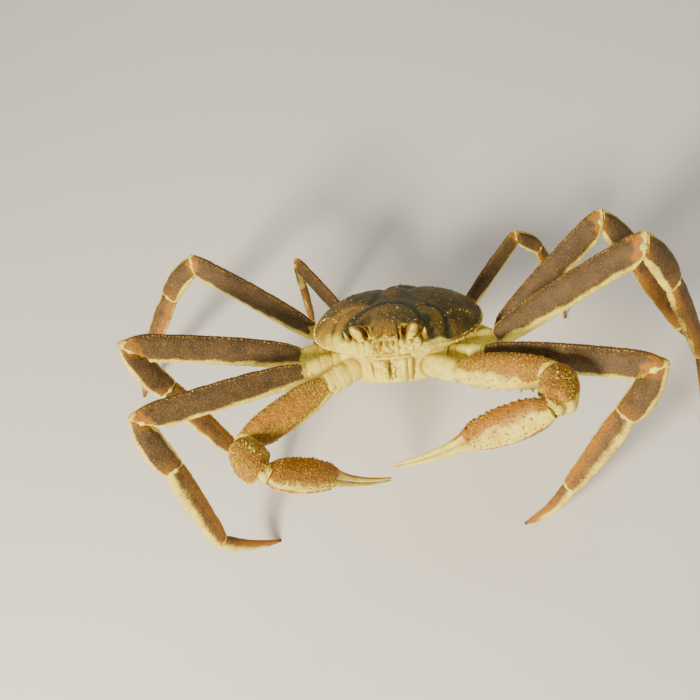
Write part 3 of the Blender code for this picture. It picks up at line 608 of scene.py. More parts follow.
def limb_marks(kind, share, turn, points, number):
    """Colour marks of a walking leg's piece.

    The lower edge is cream up to the knee, which is orange. The carpus is cream on both edges, and
    past it the outer edge is cream and the inner one orange.
    """
    up = np.cos(turn)
    wander = 0.06 * ripples(points, 14, 3)
    up, share = up + wander, share + 0.012 * ripples(points, 6, 4)
    if kind == "ischium":
        return ischium_marks(share)
    if kind == "merus":
        low = -0.6 + 0.4 * smooth(0.55, 0.0, share)
        pale = np.maximum(smooth(low + 0.25, low - 0.3, up), smooth(0.05, 0.01, share))
        pale = np.maximum(pale, smooth(0.965, 0.985, share))
        warm = smooth(0.91, 0.965, share) + 0.3 * smooth(0.7, 0.95, up)
        return {"pale": pale, "warm": warm, "deep": 0.2 * smooth(0.2, 0.8, up)}
    if kind == "carpus":
        pale = np.maximum(smooth(0.7, 0.97, up), smooth(0.94, 0.98, share))
        pale = np.maximum(pale, 0.9 * smooth(-0.66, -0.92, up))
        warm = 0.1 + 0.3 * smooth(0.5, 0.95, share) + 0.4 * smooth(0.2, 0.0, share)
        return {"pale": pale, "warm": warm}
    # The cream of the outer edge is widest on the first pair
    low, high = (-0.1, 0.9) if number == 2 else (0.45, 1.0)
    if kind == "propodus":
        pale = np.maximum(smooth(low, high, up), smooth(0.965, 0.985, share))
        pale = np.maximum(pale, 0.6 * smooth(-0.93, -0.99, up))
        return {"pale": pale, "warm": 0.2 + 0.25 * share + 0.45 * smooth(0.0, -0.8, up)}
    pale = smooth(low - 0.3, high - 0.3, up) * smooth(0.92, 0.6, share)
    return {"pale": pale, "warm": 0.4 + 0.5 * smooth(0.1, 0.6, share),
            "deep": 0.7 * smooth(0.92, 0.99, share)}


def grainy_edge(pale, grain):
    """Let the grains break up the border of the cream, where it is neither full nor gone."""
    return pale + 1.2 * (grain - 0.4) * pale * (1 - pale)


def rough_up(points, spacing, height, seed, keep=1.0):
    """Raise grains on a sheet's points; keep says where, from 0 to 1."""
    normals = surface_normals(points)
    grain = granules(points, spacing, seed)
    swell = ripples(points, 9, seed + 1) * 0.12
    return points + normals * ((grain * height + swell) * keep)[..., None], grain


def crease_round(points, share, turn, places, depth, width, marks):
    """Sink creases round a limb's first piece at shares of its length, and paint shade into them in its
    marks.
    """
    along = share + 0.03 * np.cos(turn)
    crease = sum(bell(along, place, width) for place in places)
    # Less cream and more orange in the creases: painted shade in them.
    marks = {"pale": marks["pale"] - 0.3 * crease, "warm": marks["warm"] + 0.2 * crease}
    return points - surface_normals(points) * (depth * crease)[..., None], marks


def join_skin(shell, joint, pale, reach=1.6):
    """The folded skin that shows in the groove of a joint."""
    turn = ring_turns(40)
    across, through = section(turn, 2.2)
    level = np.linspace(-reach, reach, 9)
    fold = 0.83 + 0.035 * np.cos(level * 2 * np.pi / 1.1)
    points = rings(joint.point + joint.normal * level[:, None], joint.wide, joint.thin,
                   fold * joint.width, fold * joint.thickness, across, through)
    shell.grid(points, pale=pale, warm=1.0)


def build_leg_piece(letter, number, kind, bone, seed):
    """One piece of a walking leg."""
    sizes = bpy.context.scene.crab_sizes
    girth = LEG_GIRTHS[number]
    shell = Shell()
    sides = 48 if kind == "dactylus" else 72 if number < 5 else 56
    points, share, turn = limb_rows(bone, profile_of(bone, kind, girth), sizes.mesh_step, sides,
                                    squareness=2.25, bow=LEG_BOWS[kind], bend=16 * girth)
    marks = limb_marks(kind, share, turn, points, number)
    ends = smooth(0, 0.03, share) * smooth(1, 0.97, share)
    if kind == "ischium":
        points, marks = crease_round(points, share, turn, (0.27, 0.62), 0.7, 0.028, marks)
    height = sizes.grain_height * {"ischium": 0.8, "dactylus": 0.5}.get(kind, 1.0)
    points, grain = rough_up(points, LEG_GRAINS, height, seed, ends)
    if kind in ("merus", "propodus", "carpus"):
        marks["warm"] = marks["warm"] + 0.12 * grain
        marks["pale"] = grainy_edge(marks["pale"], grain)
    shell.grid(points, capped=(True, True), **marks)
    if kind != "ischium":
        join_skin(shell, bone.start, 0.75)
    if kind in ("merus", "carpus", "propodus"):
        edge_beads(shell, points, girth, seed)
    if kind in ("ischium", "merus", "carpus"):
        condyles(shell, bone.end, girth)
    material = "pale_chitin" if kind == "ischium" else "limb_chitin"
    slots = {"ischium": "pale_shell", "merus": "limb_shell", "carpus": "limb_shell"}
    shell.finish(f"shell_{letter}{number}_{kind}", shell_finish(material),
                 slots.get(kind, "limb_tip_shell"), f"leg_{letter}{number}_{kind}")


# Rows of beads on a leg's piece: place round it from the upper edge, spacing and radius in mm, paleness
LEG_BEADS = ((0.5, 1.7, 0.42, 0.9), (0.43, 2.4, 0.34, 0.9), (0.57, 2.4, 0.34, 0.9),
             (0.05, 2.2, 0.34, 0.6), (0.95, 2.2, 0.34, 0.6))


def edge_beads(shell, points, girth, seed):
    """Rows of small cream beads on a piece's lower edge and near its upper one."""
    rng = np.random.default_rng(seed)
    normals = surface_normals(points)
    rows, sides = points.shape[:2]
    length = rows * bpy.context.scene.crab_sizes.mesh_step
    for place, spacing, radius, cream in LEG_BEADS:
        count = int(length / spacing)
        row = (np.linspace(0.06, 0.94, count) * rows + rng.normal(0, 0.6, count)).astype(int)
        row = np.clip(row, 1, rows - 2)
        column = np.round(place * sides + rng.normal(0, 0.8, count)).astype(int) % sides
        size = radius * girth * rng.uniform(0.7, 1.3, count)
        shell.domes(points[row, column], normals[row, column], size, size * 1.1, pale=cream, warm=0.6)


def condyles(shell, joint, girth):
    """The pale hinge knobs on both faces of a joint."""
    for way in (-1, 1):
        foot = joint.point + joint.thin * (way * joint.thickness * 0.44) - joint.normal * 1.2
        shell.domes([foot], [joint.thin * way], 2.3 * girth, 1.5 * girth, sides=16, pale=1.0)


# Claw legs

# Fullest width and thickness in mm of the pieces of a claw leg
CLAW_FULL = {"ischium": (15.5, 14), "merus": (21.5, 16), "carpus": (22, 22)}
ELBOW_BULGE = 3.5          # mm that a claw's carpus swells to the outside of its bend
CREAM_FROM = {"L": 0.3, "R": -0.35}  # height round each claw under which it is cream, from -1 to 1

# Rows of spinules: place round the piece from its upper edge, reach along it, number, radius, height
# and paleness
CLAW_SPINULES = {
    "merus": ((0.0, (0.1, 0.9), 15, 0.7, 1.1, 0.2), (5 / 12, (0.2, 0.78), 6, 0.9, 2.2, 1.0),
              (0.5, (0.12, 0.9), 12, 0.6, 1.0, 0.8), (0.28, (0.12, 0.9), 11, 0.5, 0.8, 0.0)),
    "carpus": ((0.0, (0.16, 0.86), 7, 0.8, 1.4, 0.5), (2 / 12, (0.2, 0.86), 6, 0.8, 1.4, 0.5),
               (11 / 12, (0.2, 0.86), 6, 0.7, 1.0, 0.3)),
}


def claw_profile(bone, kind):
    """Shares with width and thickness of a claw leg's piece, from its joints' ovals and its middle."""
    wide, thick = CLAW_FULL[kind]
    w0, t0, w1, t1 = bone.start.width, bone.start.thickness, bone.end.width, bone.end.thickness
    lip = 1.3 / bone.length
    neck = 0.94 if kind == "ischium" else 0.82
    return [(0, w0 * neck, t0 * neck), (2 * lip, w0, t0), (0.25, wide * 0.93, thick * 0.93),
            (0.5, wide, thick), (0.8, wide * 0.92, thick * 0.94), (1 - 2.5 * lip, w1 * 1.08, t1 * 1.08),
            (1, w1 * 0.96, t1 * 0.96)]


def claw_marks(kind, share, turn, points, cream_from):
    """Colour marks of a claw leg: orange brown above, cream below, pale at the rims.

    The cream starts under the given height round the piece, 1 at its upper edge and -1 at its lower.
    """
    up = np.cos(turn) + 0.1 * ripples(points, 10, 7)
    if kind == "ischium":
        return ischium_marks(share)
    edge = cream_from + (0.25 - 0.8 * share if kind == "merus" else 0.0)
    pale = np.maximum(smooth(edge + 0.2, edge - 0.4, up), smooth(0.95, 0.98, share))
    pale = np.maximum(pale, 0.7 * smooth(0.05, 0.01, share))
    patch = smooth(0.2, 1.2, ripples(points, 12, 9))
    # Pale patches on the carpus: partly cream blotches of the shell, partly a painted highlight of its wet
    # gloss.
    if kind == "carpus":
        pale = np.maximum(pale, 0.4 * smooth(0.0, 1.6, ripples(points, 13, 12)))
    return {"pale": pale, "warm": 0.15 + 0.3 * smooth(0.3, 0.9, up) + 0.5 * patch,
            "deep": 0.2 * smooth(0.2, 0.8, up)}


def strew(shell, points, count, radius, height, seed, where, **marks):
    """Grains strewn over a sheet, kept by chance where the given share of 0 to 1 allows them."""
    rng = np.random.default_rng(seed)
    normals = surface_normals(points)
    rows, columns = points.shape[:2]
    row, column = rng.integers(2, rows - 2, count), rng.integers(0, columns, count)
    kept = rng.random(count) < where[row, column]
    row, column = row[kept], column[kept]
    size = rng.uniform(0.6, 1.3, len(row))
    along, across = rng.random((2, len(row), 1))
    place = points[row, column]
    ahead, aside = points[row + 1, column] - place, points[row, (column + 1) % columns] - place
    shell.domes(place + ahead * along + aside * across, normals[row, column], radius * size, height * size,
                **marks)


def spinule_line(shell, points, place, reach, count, radius, height, along, seed, stray=0.5, **marks):
    """A row of spinules along one side of a limb piece, which lean to its far end and stray a little."""
    rng = np.random.default_rng(seed)
    normals = surface_normals(points)
    rows, columns = points.shape[:2]
    row = np.round(np.linspace(*reach, count) * (rows - 1) + rng.normal(0, 1.5 * stray, count)).astype(int)
    column = np.round(place * columns + rng.normal(0, stray, count)).astype(int) % columns
    size = rng.uniform(0.8, 1.15, count)
    shell.domes(points[row, column], normals[row, column], radius * size, height * size, 0.4 * along, 8,
                **marks)


def build_claw_arm(letter, bones, cream_from):
    """Ischium, merus and carpus of one claw leg."""
    sizes = bpy.context.scene.crab_sizes
    for i, kind in enumerate(CLAW_PIECES[:3]):
        bone, seed = bones[i], 40 + 3 * i + SIDES[letter]
        shell = Shell()
        points, share, turn = limb_rows(bone, claw_profile(bone, kind), sizes.mesh_step, sides=96, bow=0.01,
                                        bend=18)
        if kind == "carpus":
            arch = (4 * share * (1 - share))[..., None]
            points = points - bone.thin * SIDES[letter] * ELBOW_BULGE * arch
        marks = claw_marks(kind, share, turn, points, cream_from)
        if kind == "ischium":
            points, marks = crease_round(points, share, turn, (0.3, 0.66), 0.8, 0.03, marks)
        ends = smooth(0, 0.04, share) * smooth(1, 0.96, share)
        height = sizes.grain_height * (1.6 if kind != "ischium" else 0.7)
        points, grain = rough_up(points, CLAW_GRAINS, height, seed, ends)
        if kind != "ischium":
            marks["pale"] = grainy_edge(marks["pale"], grain)
        shell.grid(points, capped=(True, True), **marks)
        if kind != "ischium":
            join_skin(shell, bone.start, 0.8, 2.0)
            brown = smooth(0.6, 0.2, marks["pale"])
            strew(shell, points, 1800, 0.34, 0.36, seed, 0.8 * brown * ends, warm=0.9)
            strew(shell, points, 2600, 0.36, 0.4, seed + 2, 0.8 * brown * ends, pale=0.5)
            strew(shell, points, 240, 0.4, 0.5, seed + 1, 0.6 * ends, deep=1.0)
        for place, reach, count, radius, height, tone in CLAW_SPINULES.get(kind, ()):
            spinule_line(shell, points, place, reach, count, radius, height, bone.along, seed, pale=tone,
                         warm=0.7)
        condyles(shell, bone.end, 1.3)
        material, slot = "claw_chitin", "limb_shell"
        if kind == "ischium":
            material, slot = "pale_chitin", "pale_shell"
        shell.finish(f"claw_shell_{letter}_{kind}", shell_finish(material), slot, f"claw_{letter}_{kind}")


def finger_edges(reach):
    """At shares of a finger's length, its two edges off the hand's middle line and its thickness."""
    taper = 0.45 * (1 - reach) ** 8 + 0.55 * (1 - reach)
    inner = 0.2 + 0.15 * 4 * reach * (1 - reach)
    return inner, inner + 1.3 + 5.9 * taper, 1.3 + 5.7 * taper


def finger_sag(reach):
    """How far both fingers bow down at a share of their length."""
    return FINGER_SAG * 4 * np.maximum(reach, 0) * (1 - np.maximum(reach, 0))


def hand_rows(bone, stations, sides):
    """Rows of points through stations of (distance along, upper edge, lower edge, thickness, sag)."""
    along, upper, lower, thick, sag = (np.array(column) for column in zip(*stations))
    centre = (bone.start.point + bone.along * along[:, None]
              + bone.wide * ((upper + lower) / 2 - sag)[:, None])
    turn = ring_turns(sides)
    across, through = section(turn, 2.15)
    points = rings(centre, bone.wide, bone.thin, upper - lower, thick, across, through)
    return points, np.broadcast_to(turn, points.shape[:2])


# Stations of a palm before its fixed finger goes on: distance along, upper and lower edge, thickness
PALM_STATIONS = ((0.2, 5.6, -5.6, 9.4), (2.5, 6.6, -6.6, 10.6), (8, 9.2, -8.8, 12.4),
                 (17, 10.7, -10.4, 14.0), (28, 11.0, -10.9, 14.5), (38, 10.2, -10.3, 13.2),
                 (45, 9.0, -9.1, 11.2), (48.3, 8.0, -8.4, 10.0), (50.2, 6.4, -7.9, 9.0),
                 (51.8, 2.6, -7.2, 7.4), (53.5, -0.3, -6.4, 6.0))
PALM_BEND = 46             # mm along the hand where its rows grow closer
PALM_END = 56              # mm along the hand where the finger's own taper takes over
HAND_LENGTH = PALM_LENGTH + FINGER_LENGTH
FINGER_ROOT = 1.4          # mm that the moving finger starts past the palm's wall


def build_palm(letter, bone, cream_from):
    """Palm with its fixed finger."""
    sizes = bpy.context.scene.crab_sizes
    sides, seed = 96, 70 + SIDES[letter]
    reach = (PALM_END - PALM_LENGTH) / FINGER_LENGTH
    inner, outer, thick = finger_edges(reach)
    palm = PALM_STATIONS + ((PALM_END, -inner, -outer, thick),)
    places = np.array([row[0] for row in palm])
    at = np.concatenate([np.arange(0.2, PALM_BEND, sizes.mesh_step), np.arange(PALM_BEND, PALM_END, 0.35)])
    columns = [fair(places, np.array([row[k] for row in palm], float), at) for k in (1, 2, 3)]
    stations = list(zip(at, *columns, finger_sag((at - PALM_LENGTH) / FINGER_LENGTH)))
    for share in np.linspace(reach + 0.007, 1, 90):
        inner, outer, thick = finger_edges(share)
        stations.append((PALM_LENGTH + FINGER_LENGTH * share, -inner, -outer, thick, finger_sag(share)))
    shell = Shell()
    points, turn = hand_rows(bone, stations, sides)
    share = np.array([row[0] for row in stations])[:, None] / HAND_LENGTH
    share = np.broadcast_to(share, turn.shape)
    up = np.cos(turn) + 0.1 * ripples(points, 9, 5)
    on_finger = smooth(0.47, 0.54, share) * (1.0 if letter == "L" else 0.75)
    pale = np.maximum(smooth(cream_from + 0.45, cream_from - 0.45, up), on_finger)
    # Less cream on the palm's underside, apart from the finger: painted shade under the palm.
    pale = pale * (1 - 0.8 * smooth(-0.7, -0.95, up) * (1 - on_finger))
    warm = 0.45 + 0.3 * smooth(0.5, 1, up) + on_finger * smooth(-0.75, -0.95, up)
    ends = smooth(0, 0.03, share) * smooth(0.52, 0.46, share)
    points, grain = rough_up(points, CLAW_GRAINS, sizes.grain_height * 1.3, seed, ends)
    shell.grid(points, capped=(True, True), pale=grainy_edge(pale, grain), warm=warm)
    join_skin(shell, bone.start, 0.8, 2.0)
    brown = smooth(0.6, 0.2, pale)
    strew(shell, points, 1600, 0.34, 0.34, seed, 0.8 * brown * ends, warm=0.9)
    strew(shell, points, 2200, 0.36, 0.4, seed + 3, 0.8 * brown * ends, pale=0.5)
    for place in (0.09, 0.18, 0.26, 0.33, 0.41, 0.59, 0.67, 0.74, 0.82, 0.91):
        spinule_line(shell, points, place, (0.05, 0.42), 14, 0.52, 0.55, bone.along, seed + round(50 * place),
                     1.2, deep=1.0, warm=0.5)
    for place, tone in ((0.0, 0.1), (0.04, 0.3), (0.5, 0.8), (0.46, 0.8)):
        spinule_line(shell, points, place, (0.05, 0.42), 13, 0.75, 1.0, bone.along, seed, pale=tone, warm=0.8)
    teeth(shell, bone, -1)
    shell.finish(f"claw_shell_{letter}_palm", shell_finish("claw_chitin"), "limb_tip_shell",
                 f"claw_{letter}_palm")


def build_moving_finger(letter, bone):
    """The finger that moves on a real crab, with the two knobs of its hinge; it is fixed here."""
    shell = Shell()
    stations = []
    for share in np.concatenate([np.linspace(-0.02, 0.06, 14), np.linspace(0.07, 1, 90)]):
        inner, outer, thick = finger_edges(max(share, 0))
        swell = 1 - 0.35 * smooth(0.02, -0.02, share) + 0.12 * math.exp(-((share - 0.05) / 0.04) ** 2)
        middle, half = (inner + outer) / 2, (outer - inner) / 2 * swell
        stations.append((PALM_LENGTH + FINGER_ROOT + (FINGER_LENGTH - FINGER_ROOT) * share, middle + half,
                         middle - half, thick * swell, finger_sag(share)))
    points, turn = hand_rows(bone, stations, 64)
    share = np.broadcast_to(np.array([row[0] for row in stations])[:, None] - PALM_LENGTH, turn.shape)
    share = share / FINGER_LENGTH
    up = np.cos(turn)
    cream = smooth(0.72, 0.45, up)
    if letter == "L":
        cream = np.maximum(cream, 0.92 * smooth(0.08, 0.35, share))
    pale = cream * smooth(0.05, 0.1, share) * (1.0 if letter == "L" else 0.62)
    shell.grid(points, capped=(True, True), pale=pale, warm=1.0 - 0.3 * share)
    for way in (-1, 1):
        foot = bone.start.point + bone.along * (PALM_LENGTH + 1.2) + bone.wide * 4.4 + bone.thin * (way * 2.8)
        shell.domes([foot], [bone.thin * way], 2.4, 1.6, sides=18, warm=1.0, pale=0.1)
    teeth(shell, bone, 1)
    shell.finish(f"claw_shell_{letter}_finger", shell_finish("claw_chitin"), "limb_tip_shell",
                 f"claw_{letter}_finger")


def teeth(shell, bone, way):
    """Small blunt teeth along a finger's inner edge."""
    reach = np.linspace(0.1, 0.92, 26) + 0.008 * way
    inner = finger_edges(reach)[0] - 0.05
    places = (bone.start.point + bone.along * (PALM_LENGTH + FINGER_LENGTH * reach)[:, None]
              + bone.wide * (way * inner - finger_sag(reach))[:, None])
    size = 0.42 - 0.22 * reach
    shell.domes(places, np.repeat([-bone.wide * way], len(reach), 0), size, size * 0.7, pale=1.0)


# Carapace

# Swollen regions of the back: place to the side and lengthwise, spread of each, height
REGIONS = ((0, -20, 15, 13, 2.8), (30, -24, 8, 8, 1.7), (29, 10, 14, 18, 2.3), (0, 12, 9, 9, 2.2),
           (0, 33, 8, 6, 1.8))
# Grooves between the regions, as lines of places to the side and lengthwise
ARC_GROOVE = ((0, -11.5), (6, -12), (12, -15.5), (17, -21), (21, -27), (25, -31.5), (28, -35))
CHEEK_GROOVE = ((24, -12), (31, -16), (34.5, -22), (36, -28), (36.5, -36))
GROOVES = (ARC_GROOVE, CHEEK_GROOVE,
           ((13, -8), (11, 2), (10.5, 9), (9, 16), (8, 22), (10, 30), (13, 36)),
           ((0, 24), (4, 24.5), (8, 23)))
# Swellings of the face: place to the side and level, spread of each, height
FACE_SWELLS = (
    (0.0, 3.4, 1.0, 2.6, 1.6), (4.0, 2.6, 1.7, 1.5, 1.6), (7.2, 0.6, 1.8, 2.6, 2.0),
    (12.5, 1.2, 3.0, 1.2, 1.5), (18.0, 1.6, 2.6, 1.4, 1.4), (2.6, -1.6, 2.4, 1.0, 1.2),
    (0.0, -4.4, 8.0, 0.9, 1.2), (12.0, -2.8, 3.4, 1.8, 1.4), (0.0, -8.0, 12.0, 1.2, 1.2),
    (24.0, -4.5, 6.0, 2.6, 1.2), (20.0, -8.2, 6.0, 1.0, 0.8),
)
# Creases of the face: width, depth and the line from place to the side and level
FACE_CREASES = (
    (0.7, 1.0, ((2.0, 4.6), (2.2, 1.0), (3.4, -0.4))),
    (0.6, 0.9, ((5.6, 3.8), (5.4, 0.2), (4.6, -2.6))),
    (0.6, 0.8, ((9.2, 3.4), (9.6, -0.4), (8.0, -3.0))),
    (0.6, 0.55, ((9.6, -0.8), (15.0, -0.6), (22.0, 0.2))),
    (0.6, 0.6, ((0.0, -3.0), (6.0, -3.2), (9.0, -4.6), (16.0, -5.6), (24.0, -6.2))),
    (0.5, 0.7, ((0.0, -6.0), (8.0, -6.2), (14.0, -7.0))),
)
ORBIT = (14.0, -42.4, 6.3)  # place of an orbit's middle to the side and lengthwise, and its radius
# Turn from straight ahead and level over the margin of a row's ends, its number of beads and their size
BEAD_LINES = (
    ((30, 146), (0.2, 0.0), 74, 0.85),
    ((26, 135), (-1.9, -2.0), 96, 0.45),
    ((64, 126), (2.4, 2.2), 26, 0.45),
)
# Places of the short row of beads over the cheek
CHEEK_BEADS = np.array(((34.0, -19.0), (37.0, -14.0), (41.0, -8.5), (44.5, -5.5), (48.0, -4.0)))
# Places of the larger tubercles, on the crests of the regions
BIG_TUBERCLES = ((0, -30), (0, -16), (0, 8), (0, 18), (0, 33), (9, -24), (17, -14), (28, 2), (30, 18),
                 (22, 30), (38, 8), (36, -6), (33, -26), (14, -33), (6, -22), (24, 10), (34, 26), (5, 13))
# Horns and lobes of the head: foot, tip, width, thickness, bluntness, and paleness and warmth as pairs at
# foot and tip. First the pair between the eyes, then the spines beside the orbits, the lobes under them
# and the spines over them.
HORNS = (
    ((2.9, -42.0, 6.9), (4.1, -52.8, 8.0), 5.0, 2.8, 1.3, (0.2, 0.75), (1.0, 1.0)),
    ((22.8, -36.2, 0.4), (24.6, -44.6, 10.6), 4.2, 3.4, 1.7, (-0.6, 1.0), (0.9, 0.7)),
    ((10.3, -45.4, -3.6), (9.9, -47.3, 5.2), 4.4, 3.52, 3.0, (1.0, 0.6), (0.3, 1.0)),
    ((14.7, -43.9, -2.6), (14.2, -45.9, 3.9), 4.6, 3.68, 3.0, (1.0, 0.6), (0.3, 1.0)),
    ((19.0, -41.9, -2.4), (19.6, -43.6, 4.6), 5.0, 4.0, 3.0, (1.0, 0.6), (0.3, 1.0)),
    ((20.0, -36.5, 7.0), (21.6, -40.2, 10.8), 3.0, 2.4, 1.3, (0.1, 0.7), (0.6, 1.0)),
    ((8.2, -36.8, 8.4), (8.8, -41.2, 11.0), 2.8, 2.2, 1.3, (0.1, 0.6), (0.6, 1.0)),
)
# Parts of the back shell's sheet from the middle of the back round to the middle of the sole, and how
# many rows each has
BACK, WALL, EDGE, TUCK, SOLE = range(5)
SHEET_ROWS = (130, 12, 26, 56, 10)
SHEET_COLUMNS = 760
FACE_START = 4             # rows of the orbits' walls above the relief of the face


def outline(turn):
    """Reach of the margin from the carapace's middle, over turns from straight ahead."""
    return 50.75 - 3.9 * np.cos(turn) - 3.25 * np.cos(2 * turn) + 1.4 * np.cos(3 * turn)


def edge_level(turn):
    """Level of the margin, over turns from straight ahead."""
    return -2.55 - 0.71 * np.cos(turn) + 2.69 * np.cos(2 * turn) + 1.12 * np.cos(3 * turn)


def tucked(turn, tuck):
    """Share of the margin's reach under it, where tuck runs from 0 at the margin to 1 at the sole."""
    return 1 - (0.19 - 0.05 * np.cos(turn)) * tuck ** 1.5


def fill_below(back_values, value):
    """Values on the back's rows, followed by one value on all the sheet's rows below them."""
    below = np.full((sum(SHEET_ROWS[1:]), *back_values.shape[1:]), value)
    return np.concatenate([back_values, below])


def orbit_entry(turn):
    """Share of the way to the outline where a line from the middle enters an orbit; 9 where it misses."""
    away = np.hypot(ORBIT[0], ORBIT[1] - CARAPACE_MIDDLE)
    off = np.abs(turn) - math.atan2(ORBIT[0], CARAPACE_MIDDLE - ORBIT[1])
    within = ORBIT[2] ** 2 - (away * np.sin(off)) ** 2
    near = away * np.cos(off) - np.sqrt(np.maximum(within, 0))
    return np.where((within > 0) & (np.abs(off) < 1), near / outline(turn), 9.0)


def back_level(x, y):
    """Height of the back's swollen regions, and how deep in a groove a place lies."""
    swell = sum(rise * np.exp(-(((np.abs(x) - across) / wide) ** 2 + ((y - lengthwise) / long) ** 2))
                for across, lengthwise, wide, long, rise in REGIONS)
    groove = sum(near_line(np.abs(x), y, line, 2.3) for line in GROOVES)
    return swell, np.clip(groove, 0, 1)


def back_rows(turn, share):
    """Points of the back over turns from straight ahead and shares of the way to the outline."""
    radius, edge = outline(turn), edge_level(turn)
    squareness = 3.4 + 1.2 * np.cos(turn) + 0.4 * np.cos(2 * turn)
    height = np.maximum(1 - np.minimum(share, 1.0) ** squareness, 0) ** 0.75
    x, y = share * radius * np.sin(turn), CARAPACE_MIDDLE - share * radius * np.cos(turn)
    swell, groove = back_level(x, y)
    depth = bpy.context.scene.crab_sizes.groove_depth
    z = edge + (14 - edge) * height + swell * height ** 0.5 - depth * groove * smooth(0.0, 0.3, height)
    return np.stack([x, y, z], -1), groove


def face_relief(points):
    """Relief of the face with its ridges, lobes and creases, and how deep in a crease points lie, which sets
    the painted shade in the creases.
    """
    x, z = np.abs(points[..., 0]), points[..., 2]
    swell = sum(rise * np.exp(-((x - at) / wide) ** 2 - ((z - level) / high) ** 2)
                for at, level, wide, high, rise in FACE_SWELLS)
    crease = sum(depth * near_line(x, z, line, width) for width, depth, line in FACE_CREASES)
    return 2.0 * swell - 1.8 * crease, np.clip(crease, 0, 1)


def build_carapace():
    """The back shell with its horns, beads and tubercles."""
    turn = np.linspace(-np.pi, np.pi, SHEET_COLUMNS, endpoint=False)
    around, full, entry = np.abs(np.degrees(turn)), outline(turn), orbit_entry(turn)
    plate = smooth(11.4, 9.6, around)
    usual_end = 0.985 - 0.085 * plate
    top_end = np.minimum(usual_end, entry)
    in_orbit = smooth(0.0, 0.02, usual_end - entry)
    radial = np.stack([np.sin(turn), -np.cos(turn), 0 * turn], -1)

    # Back, which runs out over the face as a plate between the orbits
    rows = np.linspace(0.004, 1, SHEET_ROWS[BACK])
    rows = 0.5 * rows + 0.5 * np.sin(rows * np.pi / 2)
    share = rows[:, None] * top_end
    back, groove = back_rows(turn[None], share)
    ledge = smooth(0.78, 1.0, rows)[:, None] * plate
    lobes = 4.6 - 1.6 * bell(around, 0, 1.3) + 0.4 * np.cos(around * 2.4)
    back = back + radial * (lobes * ledge)[..., None]
    back[..., 2] += 0.5 * ledge - 0.9 * smooth(0.97, 1.0, rows)[:, None] * plate
    to_edge = (top_end - share) * full
    back[..., 2] += 0.7 * bell(to_edge, 0, 1) * in_orbit

    # Walls of the orbits, their floors and the shell's own steep edge, down to the margin
    wall_share = np.where(in_orbit > 0, top_end, np.minimum(top_end + 0.025 * plate, 0.99))
    floor = np.where(in_orbit > 0, ORBIT_FLOOR + 4 * (1 - in_orbit), 99.0)
    foot, _ = back_rows(turn, wall_share)
    foot[:, 2] = np.minimum(foot[:, 2], floor) - 0.8 * plate
    wall = back[-1] + (foot - back[-1]) * np.linspace(0.08, 1, SHEET_ROWS[WALL])[:, None, None]
    shares = wall_share + (1 - wall_share) * np.linspace(0.04, 1, SHEET_ROWS[EDGE])[:, None]
    edge_rows, _ = back_rows(turn[None], shares)
    level = edge_rows[..., 2]
    lip = bell(level - floor, 0.3, 0.9) * in_orbit * smooth(0.0, 0.3, shares - wall_share)
    edge_rows[..., 2] = np.minimum(level, floor) + 0.8 * lip * (in_orbit > 0)

    # Under the margin: tucked in to the flat sole
    tuck = np.linspace(0.02, 1, SHEET_ROWS[TUCK])[:, None]
    reach = tucked(turn, tuck) * full
    low = radial[None] * reach[..., None]
    low[..., 1] += CARAPACE_MIDDLE
    low[..., 2] = edge_level(turn) + (UNDERSIDE - edge_level(turn)) * tuck
    sole = radial[None] * (reach[-1] * np.linspace(0.9, 0.02, SHEET_ROWS[SOLE])[:, None])[..., None]
    sole[..., 1] += CARAPACE_MIDDLE
    sole[..., 2] = UNDERSIDE

    face = np.concatenate([wall[FACE_START:], edge_rows, low])
    on_face = smooth(46, 34, around) * smooth(-9.8, -8.6, face[..., 2]) * smooth(5.2, 3.6, face[..., 2])
    on_face[:len(wall) - FACE_START] *= 0.3
    swell, face_crease_shade = face_relief(face)
    face = face + radial * (swell * on_face)[..., None]
    points = np.concatenate([back, wall[:FACE_START], face, sole])
    crease_shade = np.zeros(points.shape[:2])
    crease_shade[len(back) + FACE_START:-len(sole)] = face_crease_shade * on_face
    kinds = np.repeat(range(len(SHEET_ROWS)), SHEET_ROWS)[:, None]
    groove = fill_below(groove, 0.0)
    keep = fill_below(smooth(0.0, 1.0, to_edge), 0.6)
    keep[-len(sole):] = 0
    keep = keep * np.where(kinds == WALL, 0.2, 1.0) * (1 - 0.5 * groove)
    grain_height = bpy.context.scene.crab_sizes.grain_height
    points, grain = rough_up(points[:, ::-1], BACK_GRAINS, grain_height, 11, keep[:, ::-1])
    points, grain = points[:, ::-1], grain[:, ::-1]
    marks = carapace_marks(points, kinds, rows, around, plate, in_orbit, to_edge, groove, crease_shade, grain)
    shell = Shell()
    shell.grid(points[:, ::-1], **{mark: value[:, ::-1] for mark, value in marks.items()})
    back_tubercles(shell)
    margin_beads(shell)
    for side in (-1, 1):
        for foot, tip, width, thickness, bluntness, pale, warm in HORNS:
            horn(shell, (side * foot[0], *foot[1:]), (side * tip[0], *tip[1:]), width, thickness, bluntness,
                 pale=pale, warm=warm)
    orbit_grains(shell)
    shell.finish("back_shell", shell_finish("back_chitin"), "back_shell", "carapace")


